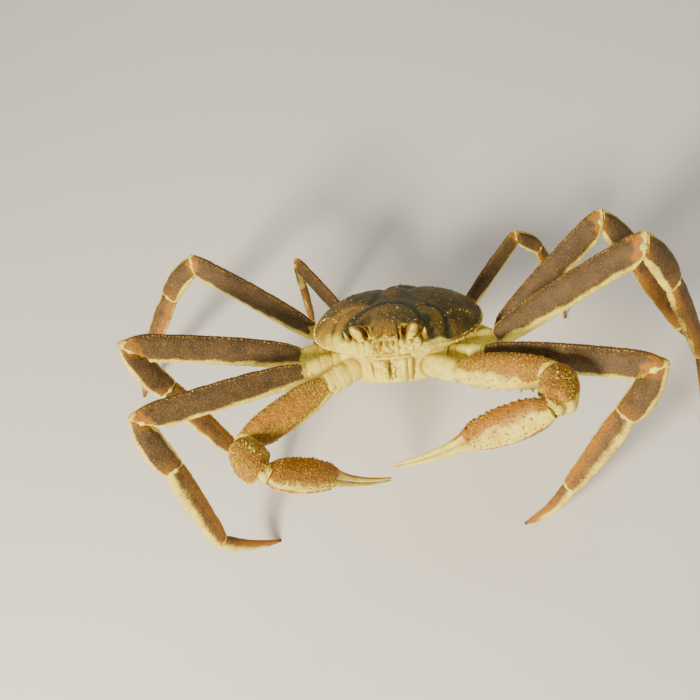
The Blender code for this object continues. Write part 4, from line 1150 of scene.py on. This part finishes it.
def carapace_marks(points, kinds, rows, around, plate, in_orbit, to_edge, groove, crease_shade, grain):
    """Colour marks of the back shell: cream face and sole, orange brow and cheeks, a dark olive arc, and
    painted shade in the grooves, the face's creases, the orbits and under the plate.

    The cream reaches higher, and the orange is stronger, on the crab's right side than on its left: painted
    light on the right, painted shade on the left.
    """
    x, y, z = points[..., 0], points[..., 1], points[..., 2]
    patches = ripples(points, 24, 21)
    inward, rim_row = fill_below(to_edge, 9.0), fill_below(rows[:, None], 1.0)
    plate_edge = fill_below(smooth(0.8, 0.97, rows)[:, None] * smooth(14, 10, around), 0.0)
    # The cream reaches higher on the crab's right side: painted light on that side, painted shade on its
    # left.
    painted_light_tilt = 1.5 - 2.5 * np.tanh(x / 12)
    cream = (smooth(2.0 + painted_light_tilt, -4.0 + 0.6 * painted_light_tilt, z + 1.6 * patches)
             * smooth(64 + 5 * painted_light_tilt, 42, around + 6 * patches))
    cream = np.maximum(cream, (kinds >= WALL) * (kinds < TUCK) * smooth(40, 30, around))
    # The wall under the plate between the orbits has no cream: painted shadow under the plate.
    cream = cream * (1 - plate * (kinds == WALL))
    cream = np.maximum(cream, (kinds == TUCK) * (smooth(62, 48, around) + smooth(-8.6, -9.8, z)))
    cream = cream * (1 - plate * (kinds == BACK))
    cream = cream + 0.6 * (kinds == BACK) * plate * smooth(0.98, 0.995, rim_row)
    cream = np.maximum(cream, 0.7 * in_orbit * bell(inward, 0, 0.7))
    cream = np.where(kinds == SOLE, 1.0, cream)

    arc = near_line(np.abs(x), y, ARC_GROOVE, 3.2) * (kinds < EDGE) * smooth(-35, -25, y)
    brow = smooth(42, 20, around) * smooth(-31, -39, y) * (kinds == BACK)
    gastric = np.exp(-(x / 16) ** 2 - ((y + 24) / 9) ** 2)
    cheek = smooth(36, 50, around) * smooth(100, 70, around) * smooth(-2, -18, y)
    # The orange cheek is stronger on the crab's right side: painted light on that side.
    cheek = cheek * (0.65 - 0.35 * np.tanh(x / 10))
    warm = 0.6 * brow + 0.4 * gastric + 0.9 * cheek + 0.3 * smooth(-0.4, 1.4, patches)
    warm = warm + 0.2 * grain * (1 - groove) + 0.6 * plate_edge
    # The wall under the plate is more orange: painted shadow under the plate.
    warm = warm + 0.4 * (kinds >= WALL) + 0.5 * plate * (kinds == WALL)
    # More orange in the face's creases: painted shade in them.
    warm = (warm + 0.5 * crease_shade) * (1 - 0.7 * np.clip(arc, 0, 1))

    # Dark: painted shade in the grooves and on the orbits' walls, the shell's own dark olive band along the
    # arc, and random patches.
    deep = 0.4 * groove + 0.7 * arc + 0.3 * smooth(-0.4, 1.4, -patches) + 0.6 * in_orbit * (kinds == WALL)
    # The cheek groove is drawn dark mostly on the crab's left side: painted shade on that side.
    shaded_side_share = 0.4 + 0.35 * np.tanh(x / 10)
    deep = deep + shaded_side_share * near_line(np.abs(x), y, CHEEK_GROOVE, 2.4) * (kinds < TUCK)
    # Random darker patches of the cream on the face and under the margin.
    darker_patches = 0.3 * smooth(0.1, 1.3, ripples(points, 6, 23)) * (kinds >= EDGE) * (kinds < SOLE)
    # Less cream: painted shade in the face's creases, the grooves and the orbits' walls.
    cream = cream - 0.6 * crease_shade - darker_patches - 0.3 * groove - 0.6 * in_orbit * (kinds == WALL)
    return {"pale": np.clip(cream, 0, 1), "warm": warm, "deep": np.clip(deep, 0, 1)}


def orbit_grains(shell):
    """Cream grains on the lower rims of the orbits, and lobes that hang from the plate between them."""
    rng = np.random.default_rng(17)
    count = 26
    for side in (-1, 1):
        turn = np.radians(rng.uniform(11.5, 29, count)) * side
        points, _ = back_rows(turn, rng.uniform(0.95, 1.0, count))
        points[:, 2] = np.minimum(points[:, 2], ORBIT_FLOOR) - 0.1
        out = np.stack([0.4 * np.sin(turn), -0.6 * np.cos(turn), 0.8 + 0 * turn], -1)
        size = rng.uniform(0.35, 0.8, count)
        shell.domes(points, out, size, size * 0.8, sides=10, pale=0.9, warm=0.6, deep=-0.6)
    across = np.array((-6.4, -4.9, -1.5, 1.5, 4.9, 6.4))
    places = np.stack([across, -47.4 + 0.03 * across ** 2, 6.0 + 0 * across], -1)
    shell.domes(places, np.repeat([(0.0, -0.8, -0.5)], len(across), 0), 0.9, 0.8, sides=12, pale=0.5,
                warm=1.0, deep=-0.6)


def back_tubercles(shell):
    """Tubercles strewn over the back, with larger ones on the crests of its regions."""
    rng = np.random.default_rng(5)
    count = bpy.context.scene.crab_sizes.tubercles
    turn, share = rng.uniform(-np.pi, np.pi, count), np.sqrt(rng.uniform(0, 0.93, count))
    big = np.array([(side * x, y) for x, y in BIG_TUBERCLES for side in ((-1, 1) if x else (1,))], float)
    big = big + rng.normal(0, 0.5, big.shape)
    turn = np.concatenate([turn, np.arctan2(big[:, 0], CARAPACE_MIDDLE - big[:, 1])])
    reach = np.hypot(big[:, 0], big[:, 1] - CARAPACE_MIDDLE)
    share = np.concatenate([share, reach / outline(turn[count:])])
    points, groove = back_rows(turn, share)
    ahead, _ = back_rows(turn, share * 0.99)
    aside, _ = back_rows(turn + 0.01, share)
    normals = unit(np.cross(ahead - points, aside - points))
    normals *= np.sign(normals[:, 2:])
    size = rng.uniform(0.25, 0.5, len(turn)) * (1 + 0.4 * (np.abs(points[:, 0]) > 18))
    size[count:] = rng.uniform(0.7, 1.0, len(big))
    kept = (share < np.minimum(orbit_entry(turn), 1.0) - 0.03) & (groove < 0.5)
    shell.domes(points[kept], normals[kept], size[kept], size[kept] * 0.9, np.array((0, -0.2, 0.0)), 8,
                warm=rng.uniform(0.5, 1.1, kept.sum()), pale=0.55 * (rng.random(kept.sum()) < 0.16))


def margin_beads(shell):
    """Cream beads along each side's margin, from beside the mouth to the rear, and over the cheek."""
    rng = np.random.default_rng(8)
    for (first, last), offsets, count, size in BEAD_LINES:
        turn = np.radians(np.linspace(first, last, count)) + rng.normal(0, 0.006, count)
        drop = np.linspace(*offsets, count) + rng.normal(0, 0.15, count)
        edge = edge_level(turn)
        tuck = np.clip(-drop / (edge - UNDERSIDE), 0, 1)
        radius = outline(turn) * np.where(drop > 0, 1 - 0.003 * drop, tucked(turn, tuck))
        for side in (-1, 1):
            across, ahead = side * np.sin(turn), -np.cos(turn)
            points = np.stack([radius * across, CARAPACE_MIDDLE + radius * ahead, edge + drop], -1)
            out = np.stack([across, ahead, 0.15 + 0.1 * drop], -1)
            width = size * rng.uniform(0.7, 1.15, count)
            shell.domes(points - out * 0.2, out, width, width, np.array((0, -0.25, 0.1)), 10, pale=1.0)
    count = 8
    for side in (-1, 1):
        at = np.linspace(0, len(CHEEK_BEADS) - 1, count) + rng.uniform(-0.12, 0.12, count)
        x, y = (np.interp(at, np.arange(len(CHEEK_BEADS)), column) for column in CHEEK_BEADS.T)
        turn = np.arctan2(side * x, CARAPACE_MIDDLE - y)
        points, _ = back_rows(turn, np.hypot(x, y - CARAPACE_MIDDLE) / outline(turn))
        width = rng.uniform(0.45, 0.95, count)
        shell.domes(points, np.repeat([(side * 0.6, -0.2, 0.8)], count, 0), width, width, sides=8, pale=0.9)


def horn(shell, foot, tip, width, thickness, bluntness, **marks):
    """A flattened horn or lobe that curves up a little to its tip; its marks are given at foot and tip."""
    foot, tip = np.array(foot, float), np.array(tip, float)
    along = unit(tip - foot)
    across = unit(np.cross(along, (0, 0, 1)))
    upright = np.cross(across, along)
    share = np.linspace(0, 1, 26)
    size = np.sqrt(1 - share ** bluntness) if bluntness > 2 else 1 - share ** bluntness + 0.03
    turn = ring_turns(24)
    centre = foot + (tip - foot) * share[:, None] + upright * (0.8 * share ** 2)[:, None]
    points = rings(centre, across, upright, size * width, size * thickness, np.cos(turn), np.sin(turn))
    tones = {mark: (low + (high - low) * share)[:, None] for mark, (low, high) in marks.items()}
    tones["deep"] = -0.6
    shell.grid(points[:, ::-1], capped=(False, True), **tones)


# Head

EYE_FOOT = (14.4, -41.2)   # place of an eye's foot to the side and lengthwise
EYE_LENGTH = 13.2
EYE_SPLAY = math.radians(24)
# Shares of an eye's length and its radius there
EYE_PROFILE = ((0.0, 2.7), (0.12, 2.9), (0.28, 3.4), (0.42, 3.8), (0.54, 3.9), (0.66, 3.6), (0.78, 3.0),
               (0.88, 2.2), (0.95, 1.4), (1.0, 0.3))
# Rows of an eye, the row its cornea starts from, and the row up to which its stalk goes in under it
EYE_ROWS, CORNEA_START, STALK_END = 60, 10, 12
FEELER_FOOT = (9.0, -41.8)  # place of a long feeler's foot to the side and lengthwise
FEELER_LENGTH, FEELER_STEPS = 24, 80
FEELER_BEND = math.radians(75)
# Plates of a mouthpart: middle, lean of its upper end to the side and lengthwise, width, height, depth,
# groove, seed, paleness and warmth. First the long plate and the notched one over it, then the slender
# rod outside them and the three pieces of the folded palp.
MOUTH_PLATES = (
    ((5.7, -38.9, -20.8), (0.0, -0.12), 10.0, 12.0, 4.4, 0.7, 51, 0.9, 0.5),
    ((6.0, -39.2, -12.9), (0.0, -0.12), 9.6, 6.2, 4.6, 0.4, 52, 0.95, 0.5),
    ((12.0, -38.2, -18.2), (0.1, -0.1), 2.8, 14.6, 3.6, 0.0, 53, 0.7, 0.3),
    ((3.4, -41.0, -12.6), (0.5, -0.1), 3.4, 5.0, 2.4, 0.0, 54, 0.7, 0.8),
    ((2.4, -41.3, -16.4), (0.15, -0.1), 2.8, 4.6, 2.4, 0.0, 54, 0.7, 0.8),
    ((1.9, -41.0, -20.2), (0.0, -0.1), 2.2, 3.8, 2.4, 0.0, 54, 0.7, 0.8),
)


def build_eyes():
    """Both eyes: a stalk that widens upward, and the cornea round its top."""
    turn = ring_turns(64)
    share = np.linspace(0, 1, EYE_ROWS)
    radius = fair(*(np.array(column) for column in zip(*EYE_PROFILE)), share)
    up_cornea = share[CORNEA_START:, None]
    for letter, side in SIDES.items():
        axis = unit(np.array((side * math.sin(EYE_SPLAY), -0.12, math.cos(EYE_SPLAY))))
        foot = np.array((side * EYE_FOOT[0], EYE_FOOT[1], ORBIT_FLOOR))
        out = unit(np.cross(axis, (1, 0, 0)))
        right = np.cross(out, axis)
        around = right * np.cos(turn)[:, None] + out * np.sin(turn)[:, None]
        points = foot + axis * (EYE_LENGTH * share)[:, None, None] + around * radius[:, None, None]
        points[0, :, 2] = ORBIT_FLOOR
        facing = around @ unit(np.array((side * 0.15, -1.0, 0.1)))
        stalk = Shell()
        # The stalk is paler where it faces forward: partly its own cream, partly the cornea's painted
        # highlight carried down.
        stalk.grid(points[:STALK_END], capped=(True, False), warm=1.0, pale=0.8 * smooth(0.5, 0.95, facing))
        stalk.domes([foot + axis * (EYE_LENGTH - 0.6)], [axis], 0.9, 1.3, sides=12, warm=1.0)
        stalk.finish(f"eye_stalk_{letter}", shell_finish("claw_chitin"), "eye")
        cornea = Shell()
        # The cornea is pale where it faces forward: a painted highlight.
        painted_highlight = smooth(0.62, 0.98, facing + 0.2 * ripples(points, 5, 61))[CORNEA_START:]
        cornea.grid(points[CORNEA_START:], capped=(False, True),
                    pale=0.85 * painted_highlight * smooth(0.96, 0.76, up_cornea),
                    warm=smooth(-0.2, 0.6, facing) * smooth(1.0, 0.7, up_cornea))
        cornea.finish(f"cornea_{letter}", shell_finish("cornea"), "eye", f"eye_{letter}")


def build_antennae():
    """Each long feeler: two stout foot segments and a thin ringed whip that bends forward."""
    share = np.linspace(0, 1, FEELER_STEPS + 1)
    bend = FEELER_BEND * share ** 0.7
    radius = np.where(share < 0.12, 1.15, np.where(share < 0.26, 0.8, 0.42 - 0.14 * share))
    radius = radius * (1 + 0.1 * np.sin(share * 2 * np.pi * 26) * (share > 0.26))
    radius = radius * (1 - 0.25 * bell(share, 0.12, 0.01))
    turn = ring_turns(16)
    for letter, side in SIDES.items():
        leans = unit(np.stack([side * 0.35 * np.sin(bend), -np.sin(bend), np.cos(bend)], -1))
        steps = leans * FEELER_LENGTH / FEELER_STEPS
        steps[0] = (side * FEELER_FOOT[0], FEELER_FOOT[1], ORBIT_FLOOR)
        thin = unit(np.cross(leans, (1, 0, 0)))
        points = rings(np.cumsum(steps, axis=0), np.cross(thin, leans), thin, 2 * radius, 2 * radius,
                       np.cos(turn), np.sin(turn))
        shell = Shell()
        shell.grid(points, capped=(True, True), pale=0.7 * smooth(0.3, 0.1, share)[:, None], warm=0.8)
        shell.finish(f"feeler_{letter}", shell_finish("claw_chitin"), "limb_tip_shell", f"antenna_{letter}")


def pillow(shell, middle, up, width, height, depth, groove, seed, **marks):
    """A plate with rounded edges whose front swells out of the surface behind it."""
    right, up = np.array((1.0, 0.0, 0.0)), unit(np.array(up, float))
    out = np.cross(right, up)
    x, y = np.meshgrid(np.linspace(-1, 1, 40), np.linspace(-1, 1, 48))
    x, y = np.sin(x * np.pi / 2), np.sin(y * np.pi / 2)
    bulge = (1 - np.abs(x) ** 5) ** 0.5 * (1 - np.abs(y) ** 5) ** 0.5
    level = depth * (bulge - 0.45) - groove * bell(x, 0.25, 0.12) * bulge
    squeeze = 1 - 0.1 * np.abs(y) ** 3
    points = np.array(middle) + right * (x * squeeze * width / 2)[..., None]
    points = points + up * (y * height / 2)[..., None] + out * level[..., None]
    normals = surface_normals(points, closed=False)
    points = points + normals * (granules(points, MOUTH_GRAINS, seed) * 0.12)[..., None]
    # Less cream towards the plates' edges: partly their orange rims, partly painted shade round them.
    marks["pale"] = marks["pale"] * (0.45 + 0.55 * bulge)
    shell.grid(points, closed=False, **marks)


def build_mouth():
    """The outer mouthparts, each with bristles on its palp and a flat sheet behind its plates."""
    for letter, side in SIDES.items():
        shell = Shell()
        for (x, y, z), lean, width, height, depth, groove, seed, pale, warm in MOUTH_PLATES:
            up = (side * lean[0], lean[1], 1.0)
            pillow(shell, (side * x, y, z), up, width, height, depth, groove, seed, pale=pale, warm=warm)
        rng = np.random.default_rng(60 + side)
        count = 70
        bristles = np.stack([side * rng.uniform(0.9, 3.6, count), -41.6 + rng.normal(0, 0.25, count),
                             rng.uniform(-22, -12, count)], 1)
        shell.domes(bristles, np.repeat([(-side * 0.4, -1.0, -0.5)], count, 0), 0.22, 1.1, sides=5, pale=0.5,
                    warm=1.0)
        back = np.array([[(side * x, -38.4, z) for x in (0.4, 12.4)] for z in (-26.2, -10.6)])
        if side < 0:
            back = back[:, ::-1]
        shell.grid(back, closed=False, pale=0.6, deep=0.4)
        shell.finish(f"mouthparts_{letter}", shell_finish("pale_chitin"), "pale_shell",
                     f"maxilliped_{letter}")


# Breast and tail flap

BREAST_BEND = -25.6        # level where the breast's walls turn in to its sole
TAIL_THICK = 3.4


def build_breast():
    """The breast: walls that swell round each limb root and plates divided by seams below."""
    turn = np.linspace(-np.pi, np.pi, 560, endpoint=False)
    heading = np.stack([np.sin(turn), -np.cos(turn)], -1)
    reach = np.full(len(turn), 1e9)
    for corner, normal in breast_walls():
        facing = heading @ normal
        distance = np.where(facing > 1e-6, (corner @ normal) / np.maximum(facing, 1e-6), 1e9)
        reach = np.minimum(reach, distance)
    top = UNDERSIDE - GAP
    levels = [(share, top) for share in np.linspace(0.1, 0.96, 6)]
    levels += [(1.0, z) for z in np.linspace(top, BREAST_BEND, 40)]
    levels += [(1 - 0.14 * smooth(0, 1, s), BREAST_BEND + (THORAX_SOLE - BREAST_BEND) * (1 - (1 - s) ** 2))
               for s in np.linspace(0.06, 1, 16)]
    levels += [(0.86 * share, THORAX_SOLE) for share in np.linspace(0.97, 0.02, 44)]
    points = np.stack([np.concatenate([heading * (reach * share)[:, None], np.full((len(turn), 1), z)], 1)
                       for share, z in levels])[:, ::-1]
    roots = np.array([((a[0] + b[0]) / 2 * side, (a[1] + b[1]) / 2, LIMB_ROOT_LEVEL) for side in (-1, 1)
                      for a, b in zip(THORAX_CORNERS, THORAX_CORNERS[1:])])
    away = np.linalg.norm(points[:, :, None] - roots, axis=-1).min(-1)
    swell = 0.9 * bell(away, 8.6, 1.1)
    across, lengthwise = np.abs(points[..., 0]), points[..., 1]
    seams = np.minimum.reduce([distance_to_line(across, lengthwise, ((8, y * 0.55), (x, y)))
                               for x, y in THORAX_CORNERS[1:-1]])
    below = points[..., 2] < BREAST_BEND - 0.9
    groove = bell(seams, 0, 0.7) * below
    points = points + surface_normals(points) * (swell * ~below - 0.8 * groove)[..., None]
    points, _ = rough_up(points, BREAST_GRAINS, 0.18, 33)
    darker_patches = 0.3 * smooth(0.1, 1.0, ripples(points, 11, 35))
    shell = Shell()
    shell.grid(points, pale=np.clip(0.95 - groove - darker_patches, 0, 1), deep=0.3 * groove, warm=0.4)
    shell.finish("breast", shell_finish("pale_chitin"), "pale_shell", "thorax")


def build_tail():
    """The male's narrow tail flap: seven plates with seams between them, folded under the breast."""
    rear, sole = THORAX_REAR + GAP, THORAX_SOLE - GAP
    behind, under, inner_sole = rear + TAIL_THICK, sole - TAIL_THICK, sole - 0.1
    # Lengthwise place and level of its inner side and of its outer side, and half its width
    stations = np.array((
        (rear, -12.0, behind, -13.5, 10.5), (rear, -19.0, behind, -19.0, 11.0),
        (rear + 0.1, sole + 2.7, behind, sole + 1.8, 10.5), (rear - 5.3, inner_sole, rear - 3.0, under, 10.0),
        (18.0, inner_sole, 18.0, under, 8.6), (2.0, inner_sole, 2.0, under, 6.8),
        (-12.0, inner_sole, -12.0, under + 0.4, 4.6), (-18.0, inner_sole, -17.0, under + 1.2, 2.4)))
    steps = np.diff((stations[:, :2] + stations[:, 2:4]) / 2, axis=0)
    length = np.concatenate([[0], np.cumsum(np.linalg.norm(steps, axis=1))])
    at = np.linspace(0, length[-1], 130)
    columns = (np.interp(at, length, column)[:, None] for column in stations.T)
    inner_y, inner_z, outer_y, outer_z, half = columns
    seams = np.array((0.12, 0.24, 0.37, 0.5, 0.64, 0.8)) * length[-1]
    groove = bell(np.abs(at[:, None] - seams).min(1), 0, 0.55)[:, None]
    turn = np.linspace(-np.pi / 2, np.pi / 2, 60)
    across, lift = np.sin(turn), np.cos(turn) ** 0.6
    swell = lift * (1 - 0.28 * groove)
    y, z = inner_y + (outer_y - inner_y) * swell, inner_z + (outer_z - inner_z) * swell
    x = half * (1 - 0.04 * groove) * across * (1 + 0.05 * lift) * 1.04
    closing = np.stack([x[:, ::-1] * 0.97, inner_y + 0 * x, inner_z + 0 * x], -1)[:, 1:-1:6]
    shell = Shell()
    shell.grid(np.concatenate([np.stack([x, y, z], -1), closing], 1), capped=(True, True),
               pale=np.clip(0.95 - 0.6 * groove, 0, 1), warm=0.6, deep=0.3 * groove)
    shell.finish("tail_flap", shell_finish("pale_chitin"), "pale_shell", "abdomen")


# Stage

FLOOR_REACH = 4000.0       # mm from the crab to the floor's edges
# Soft lights: name, place and size in metres, power in watts and colour
LIGHTS = (
    ("key", (-0.5, -0.95, 0.75), 0.32, 41.0, "FFF0D4"),
    ("fill", (0.9, -0.5, 0.8), 0.9, 6.0, "FFF6EA"),
    ("back", (-0.3, 1.0, 0.9), 0.9, 7.0, "FFF6EA"),
)
LIGHTS_AIM = Vector((0, 0, 0.06))
WORLD_COLOUR, WORLD_STRENGTH = "F4F1EA", 0.22
# Camera as estimated from the photograph: turn round the crab from its front, height over the floor
# and roll in degrees, the point it looks at and its distance from it in metres, lens and sensor in mm
CAMERA_ANGLES = (25.3, 53.1, -25.8)
CAMERA_TARGET = Vector((-0.0166, 0.0073, 0.0918))
CAMERA_DISTANCE = 0.626
CAMERA_LENS, CAMERA_SENSOR = 50, 36


def build_floor():
    """A plain pale studio floor, flat and wide.

    It is matt background paper: to the eye an even pale grey, with fibres that barely show.
    """
    shell = Shell()
    reach = np.linspace(-FLOOR_REACH, FLOOR_REACH, 60)
    x, y = np.meshgrid(reach, reach)
    shell.grid(np.stack([x, y, 0 * x], -1), closed=False)
    mesh = bpy.data.meshes.new("floor")
    points, faces = np.concatenate(shell.points) * MM, np.concatenate(shell.faces)
    mesh.from_pydata(points.tolist(), [], faces.tolist())
    material, tree, shader = new_material("studio_paper")
    fibres = add(tree, "ShaderNodeTexNoise", {"Vector": add(tree, "ShaderNodeTexCoord").outputs["Object"],
                                              "Scale": 1 / (PAPER_SPACING * MM),
                                              "Detail": 2.0}).outputs["Fac"]
    colour = add(tree, "ShaderNodeMix", {0: fibres, 6: linear(PAPER_COLOURS[0]),
                                       7: linear(PAPER_COLOURS[1])}, data_type="RGBA").outputs[2]
    tree.links.new(colour, shader.inputs["Base Color"])
    shader.inputs["Roughness"].default_value = 0.85
    mesh.materials.append(material)
    floor = bpy.data.objects.new("floor", mesh)
    bpy.context.scene.collection.objects.link(floor)


def build_lights():
    """A warm key light, two weaker wide ones, and a dim even glow all round."""
    for name, place, size, power, tint in LIGHTS:
        light = bpy.data.lights.new(name, "AREA")
        light.size = size
        light.energy = power
        light.color = linear(tint)[:3]
        lamp = bpy.data.objects.new(name, light)
        lamp.location = place
        lamp.rotation_euler = (LIGHTS_AIM - Vector(place)).to_track_quat("-Z", "Y").to_euler()
        bpy.context.scene.collection.objects.link(lamp)
    world = bpy.data.worlds.new("studio")
    world.use_nodes = True
    background = world.node_tree.nodes["Background"]
    background.inputs["Color"].default_value = linear(WORLD_COLOUR)
    background.inputs["Strength"].default_value = WORLD_STRENGTH
    bpy.context.scene.world = world


def build_camera(scene):
    """A camera above the front left of the crab, at the photograph's estimated place and roll."""
    azimuth, elevation, roll = (math.radians(angle) for angle in CAMERA_ANGLES)
    back = Vector((math.sin(azimuth) * math.cos(elevation), -math.cos(azimuth) * math.cos(elevation),
                   math.sin(elevation)))
    level = Vector((math.cos(azimuth), math.sin(azimuth), 0))
    upright = back.cross(level)
    right = level * math.cos(roll) + upright * math.sin(roll)
    up = upright * math.cos(roll) - level * math.sin(roll)
    data = bpy.data.cameras.new("camera")
    data.lens = CAMERA_LENS
    data.sensor_width = CAMERA_SENSOR
    data.clip_start = 0.01
    camera = bpy.data.objects.new("camera", data)
    turn = Matrix((right, up, back)).transposed().to_4x4()
    camera.matrix_world = Matrix.Translation(CAMERA_TARGET + back * CAMERA_DISTANCE) @ turn
    scene.collection.objects.link(camera)
    scene.camera = camera


# Add-on

class CrabSizes(bpy.types.PropertyGroup):
    """Sizes that shape the crab's surface."""
    mesh_step: FloatProperty(name="Mesh step", default=0.75, min=0.3, max=3.0,
                             description="Spacing of the rows of limb pieces, in millimetres")
    grain_height: FloatProperty(name="Grain height", default=0.22, min=0.0, max=1.0,
                                description="Height of the shell's raised grains, in millimetres")
    limb_grain: FloatProperty(name="Limb grain", default=0.95, min=0.3, max=4.0,
                              description="Spacing of the fine grains on the limbs, in millimetres")
    back_grain: FloatProperty(name="Back grain", default=1.3, min=0.3, max=4.0,
                              description="Spacing of the fine grains on the back, in millimetres")
    groove_depth: FloatProperty(name="Groove depth", default=1.3, min=0.0, max=4.0,
                                description="Depth of the grooves of the back, in millimetres")
    tubercles: IntProperty(name="Tubercles", default=420, min=0, max=4000,
                           description="Number of small tubercles strewn over the back")


class CrabColours(bpy.types.PropertyGroup):
    """Colours of the shell as sRGB hex values."""
    back: StringProperty(name="Back", description="Olive brown of the back", default="5E4C1E")
    # Back, dark gives the dark olive patches and arc, and also the painted shade in the grooves and orbits.
    back_dark: StringProperty(name="Back, dark", description="Dark olive of the grooves", default="32361A")
    back_warm: StringProperty(name="Back, warm", description="Orange of brow and patches", default="94701E")
    back_speck: StringProperty(name="Back, grains", description="Tips of the grains", default="A08438")
    limb: StringProperty(name="Limbs", description="Pinkish brown of the legs' faces", default="5C4628")
    limb_dark: StringProperty(name="Limbs, dark", description="Brown between the grains", default="48371E")
    limb_warm: StringProperty(name="Limbs, warm", description="Orange of knees and rims", default="9A661C")
    limb_speck: StringProperty(name="Limbs, grains", description="Tips of the grains", default="BE9A4A")
    claw: StringProperty(name="Claws", description="Orange brown of the claw legs", default="9E741A")
    claw_dark: StringProperty(name="Claws, dark", description="Brown between the grains", default="7A5614")
    claw_warm: StringProperty(name="Claws, warm", description="Orange of edges and patches", default="A0620E")
    claw_speck: StringProperty(name="Claws, grains", description="Tips of the grains", default="DCB440")
    pale: StringProperty(name="Pale shell", description="Cream of breast and limb bases", default="F2E866")
    pale_shade: StringProperty(name="Pale shell, shade", description="Yellowish shade", default="CEB446")
    cream: StringProperty(name="Cream", description="Cream of edges and beads", default="F0E65E")
    eye_rim: StringProperty(name="Eye rim", description="Amber outline of the eyes", default="82580E")
    # The eyes' pale front: a painted highlight of the cornea.
    eye_highlight: StringProperty(name="Eye, front", description="Cream front of the eyes", default="D8CC48")
    eye_dark: StringProperty(name="Eye, dark", description="Dark amber of the cornea", default="341C0A")


class CRAB_OT_carapace(bpy.types.Operator):
    """Build the back shell with its regions, beads and spines"""
    bl_idname = "crab.carapace"
    bl_label = "Carapace"

    def execute(self, context):
        build_carapace()
        return {"FINISHED"}


class CRAB_OT_head(bpy.types.Operator):
    """Build the eyes, the feelers and the mouthparts"""
    bl_idname = "crab.head"
    bl_label = "Eyes, feelers and mouth"

    def execute(self, context):
        build_eyes()
        build_antennae()
        build_mouth()
        return {"FINISHED"}


class CRAB_OT_underside(bpy.types.Operator):
    """Build the breast and the tail flap"""
    bl_idname = "crab.underside"
    bl_label = "Breast and tail flap"

    def execute(self, context):
        build_breast()
        build_tail()
        return {"FINISHED"}


class CRAB_OT_claws(bpy.types.Operator):
    """Build both claw legs"""
    bl_idname = "crab.claws"
    bl_label = "Claw legs"

    def execute(self, context):
        for letter, cream_from in CREAM_FROM.items():
            bones = limb_bones([f"claw_{letter}_{kind}" for kind in CLAW_PIECES[:4]])
            build_claw_arm(letter, bones, cream_from)
            build_palm(letter, bones[3], cream_from)
            build_moving_finger(letter, bones[3])
        return {"FINISHED"}


class CRAB_OT_legs(bpy.types.Operator):
    """Build the eight walking legs"""
    bl_idname = "crab.legs"
    bl_label = "Walking legs"

    def execute(self, context):
        for letter in SIDES:
            for number in range(2, 6):
                bones = limb_bones([f"leg_{letter}{number}_{kind}" for kind in LEG_PIECES])
                for i, kind in enumerate(LEG_PIECES):
                    build_leg_piece(letter, number, kind, bones[i], 100 * number + 10 * i + SIDES[letter])
        return {"FINISHED"}


class CRAB_OT_stage(bpy.types.Operator):
    """Set up the pale floor, the soft lights and the camera"""
    bl_idname = "crab.stage"
    bl_label = "Floor, lights and camera"

    def execute(self, context):
        build_floor()
        build_lights()
        build_camera(context.scene)
        return {"FINISHED"}


OPERATORS = (CRAB_OT_carapace, CRAB_OT_head, CRAB_OT_underside, CRAB_OT_claws, CRAB_OT_legs, CRAB_OT_stage)


class CRAB_PT_panel(bpy.types.Panel):
    """Lists the crab's pieces in the sidebar"""
    bl_idname = "CRAB_PT_panel"
    bl_label = "Snow crab"
    bl_space_type = "VIEW_3D"
    bl_region_type = "UI"
    bl_category = "Snow Crab"

    def draw(self, context):
        for operator in OPERATORS:
            self.layout.operator(operator.bl_idname)


CLASSES = (CrabSizes, CrabColours) + OPERATORS + (CRAB_PT_panel,)


def register():
    """Add the classes and the scene's sizes and colours."""
    for thing in CLASSES:
        bpy.utils.register_class(thing)
    bpy.types.Scene.crab_sizes = PointerProperty(type=CrabSizes)
    bpy.types.Scene.crab_colours = PointerProperty(type=CrabColours)


def unregister():
    """Take them away again."""
    del bpy.types.Scene.crab_colours
    del bpy.types.Scene.crab_sizes
    for thing in reversed(CLASSES):
        bpy.utils.unregister_class(thing)


def main():
    """Build the crab and its stage in order."""
    register()
    bpy.ops.crab.carapace()
    bpy.ops.crab.head()
    bpy.ops.crab.underside()
    bpy.ops.crab.claws()
    bpy.ops.crab.legs()
    bpy.ops.crab.stage()


if __name__ == "__main__":
    main()
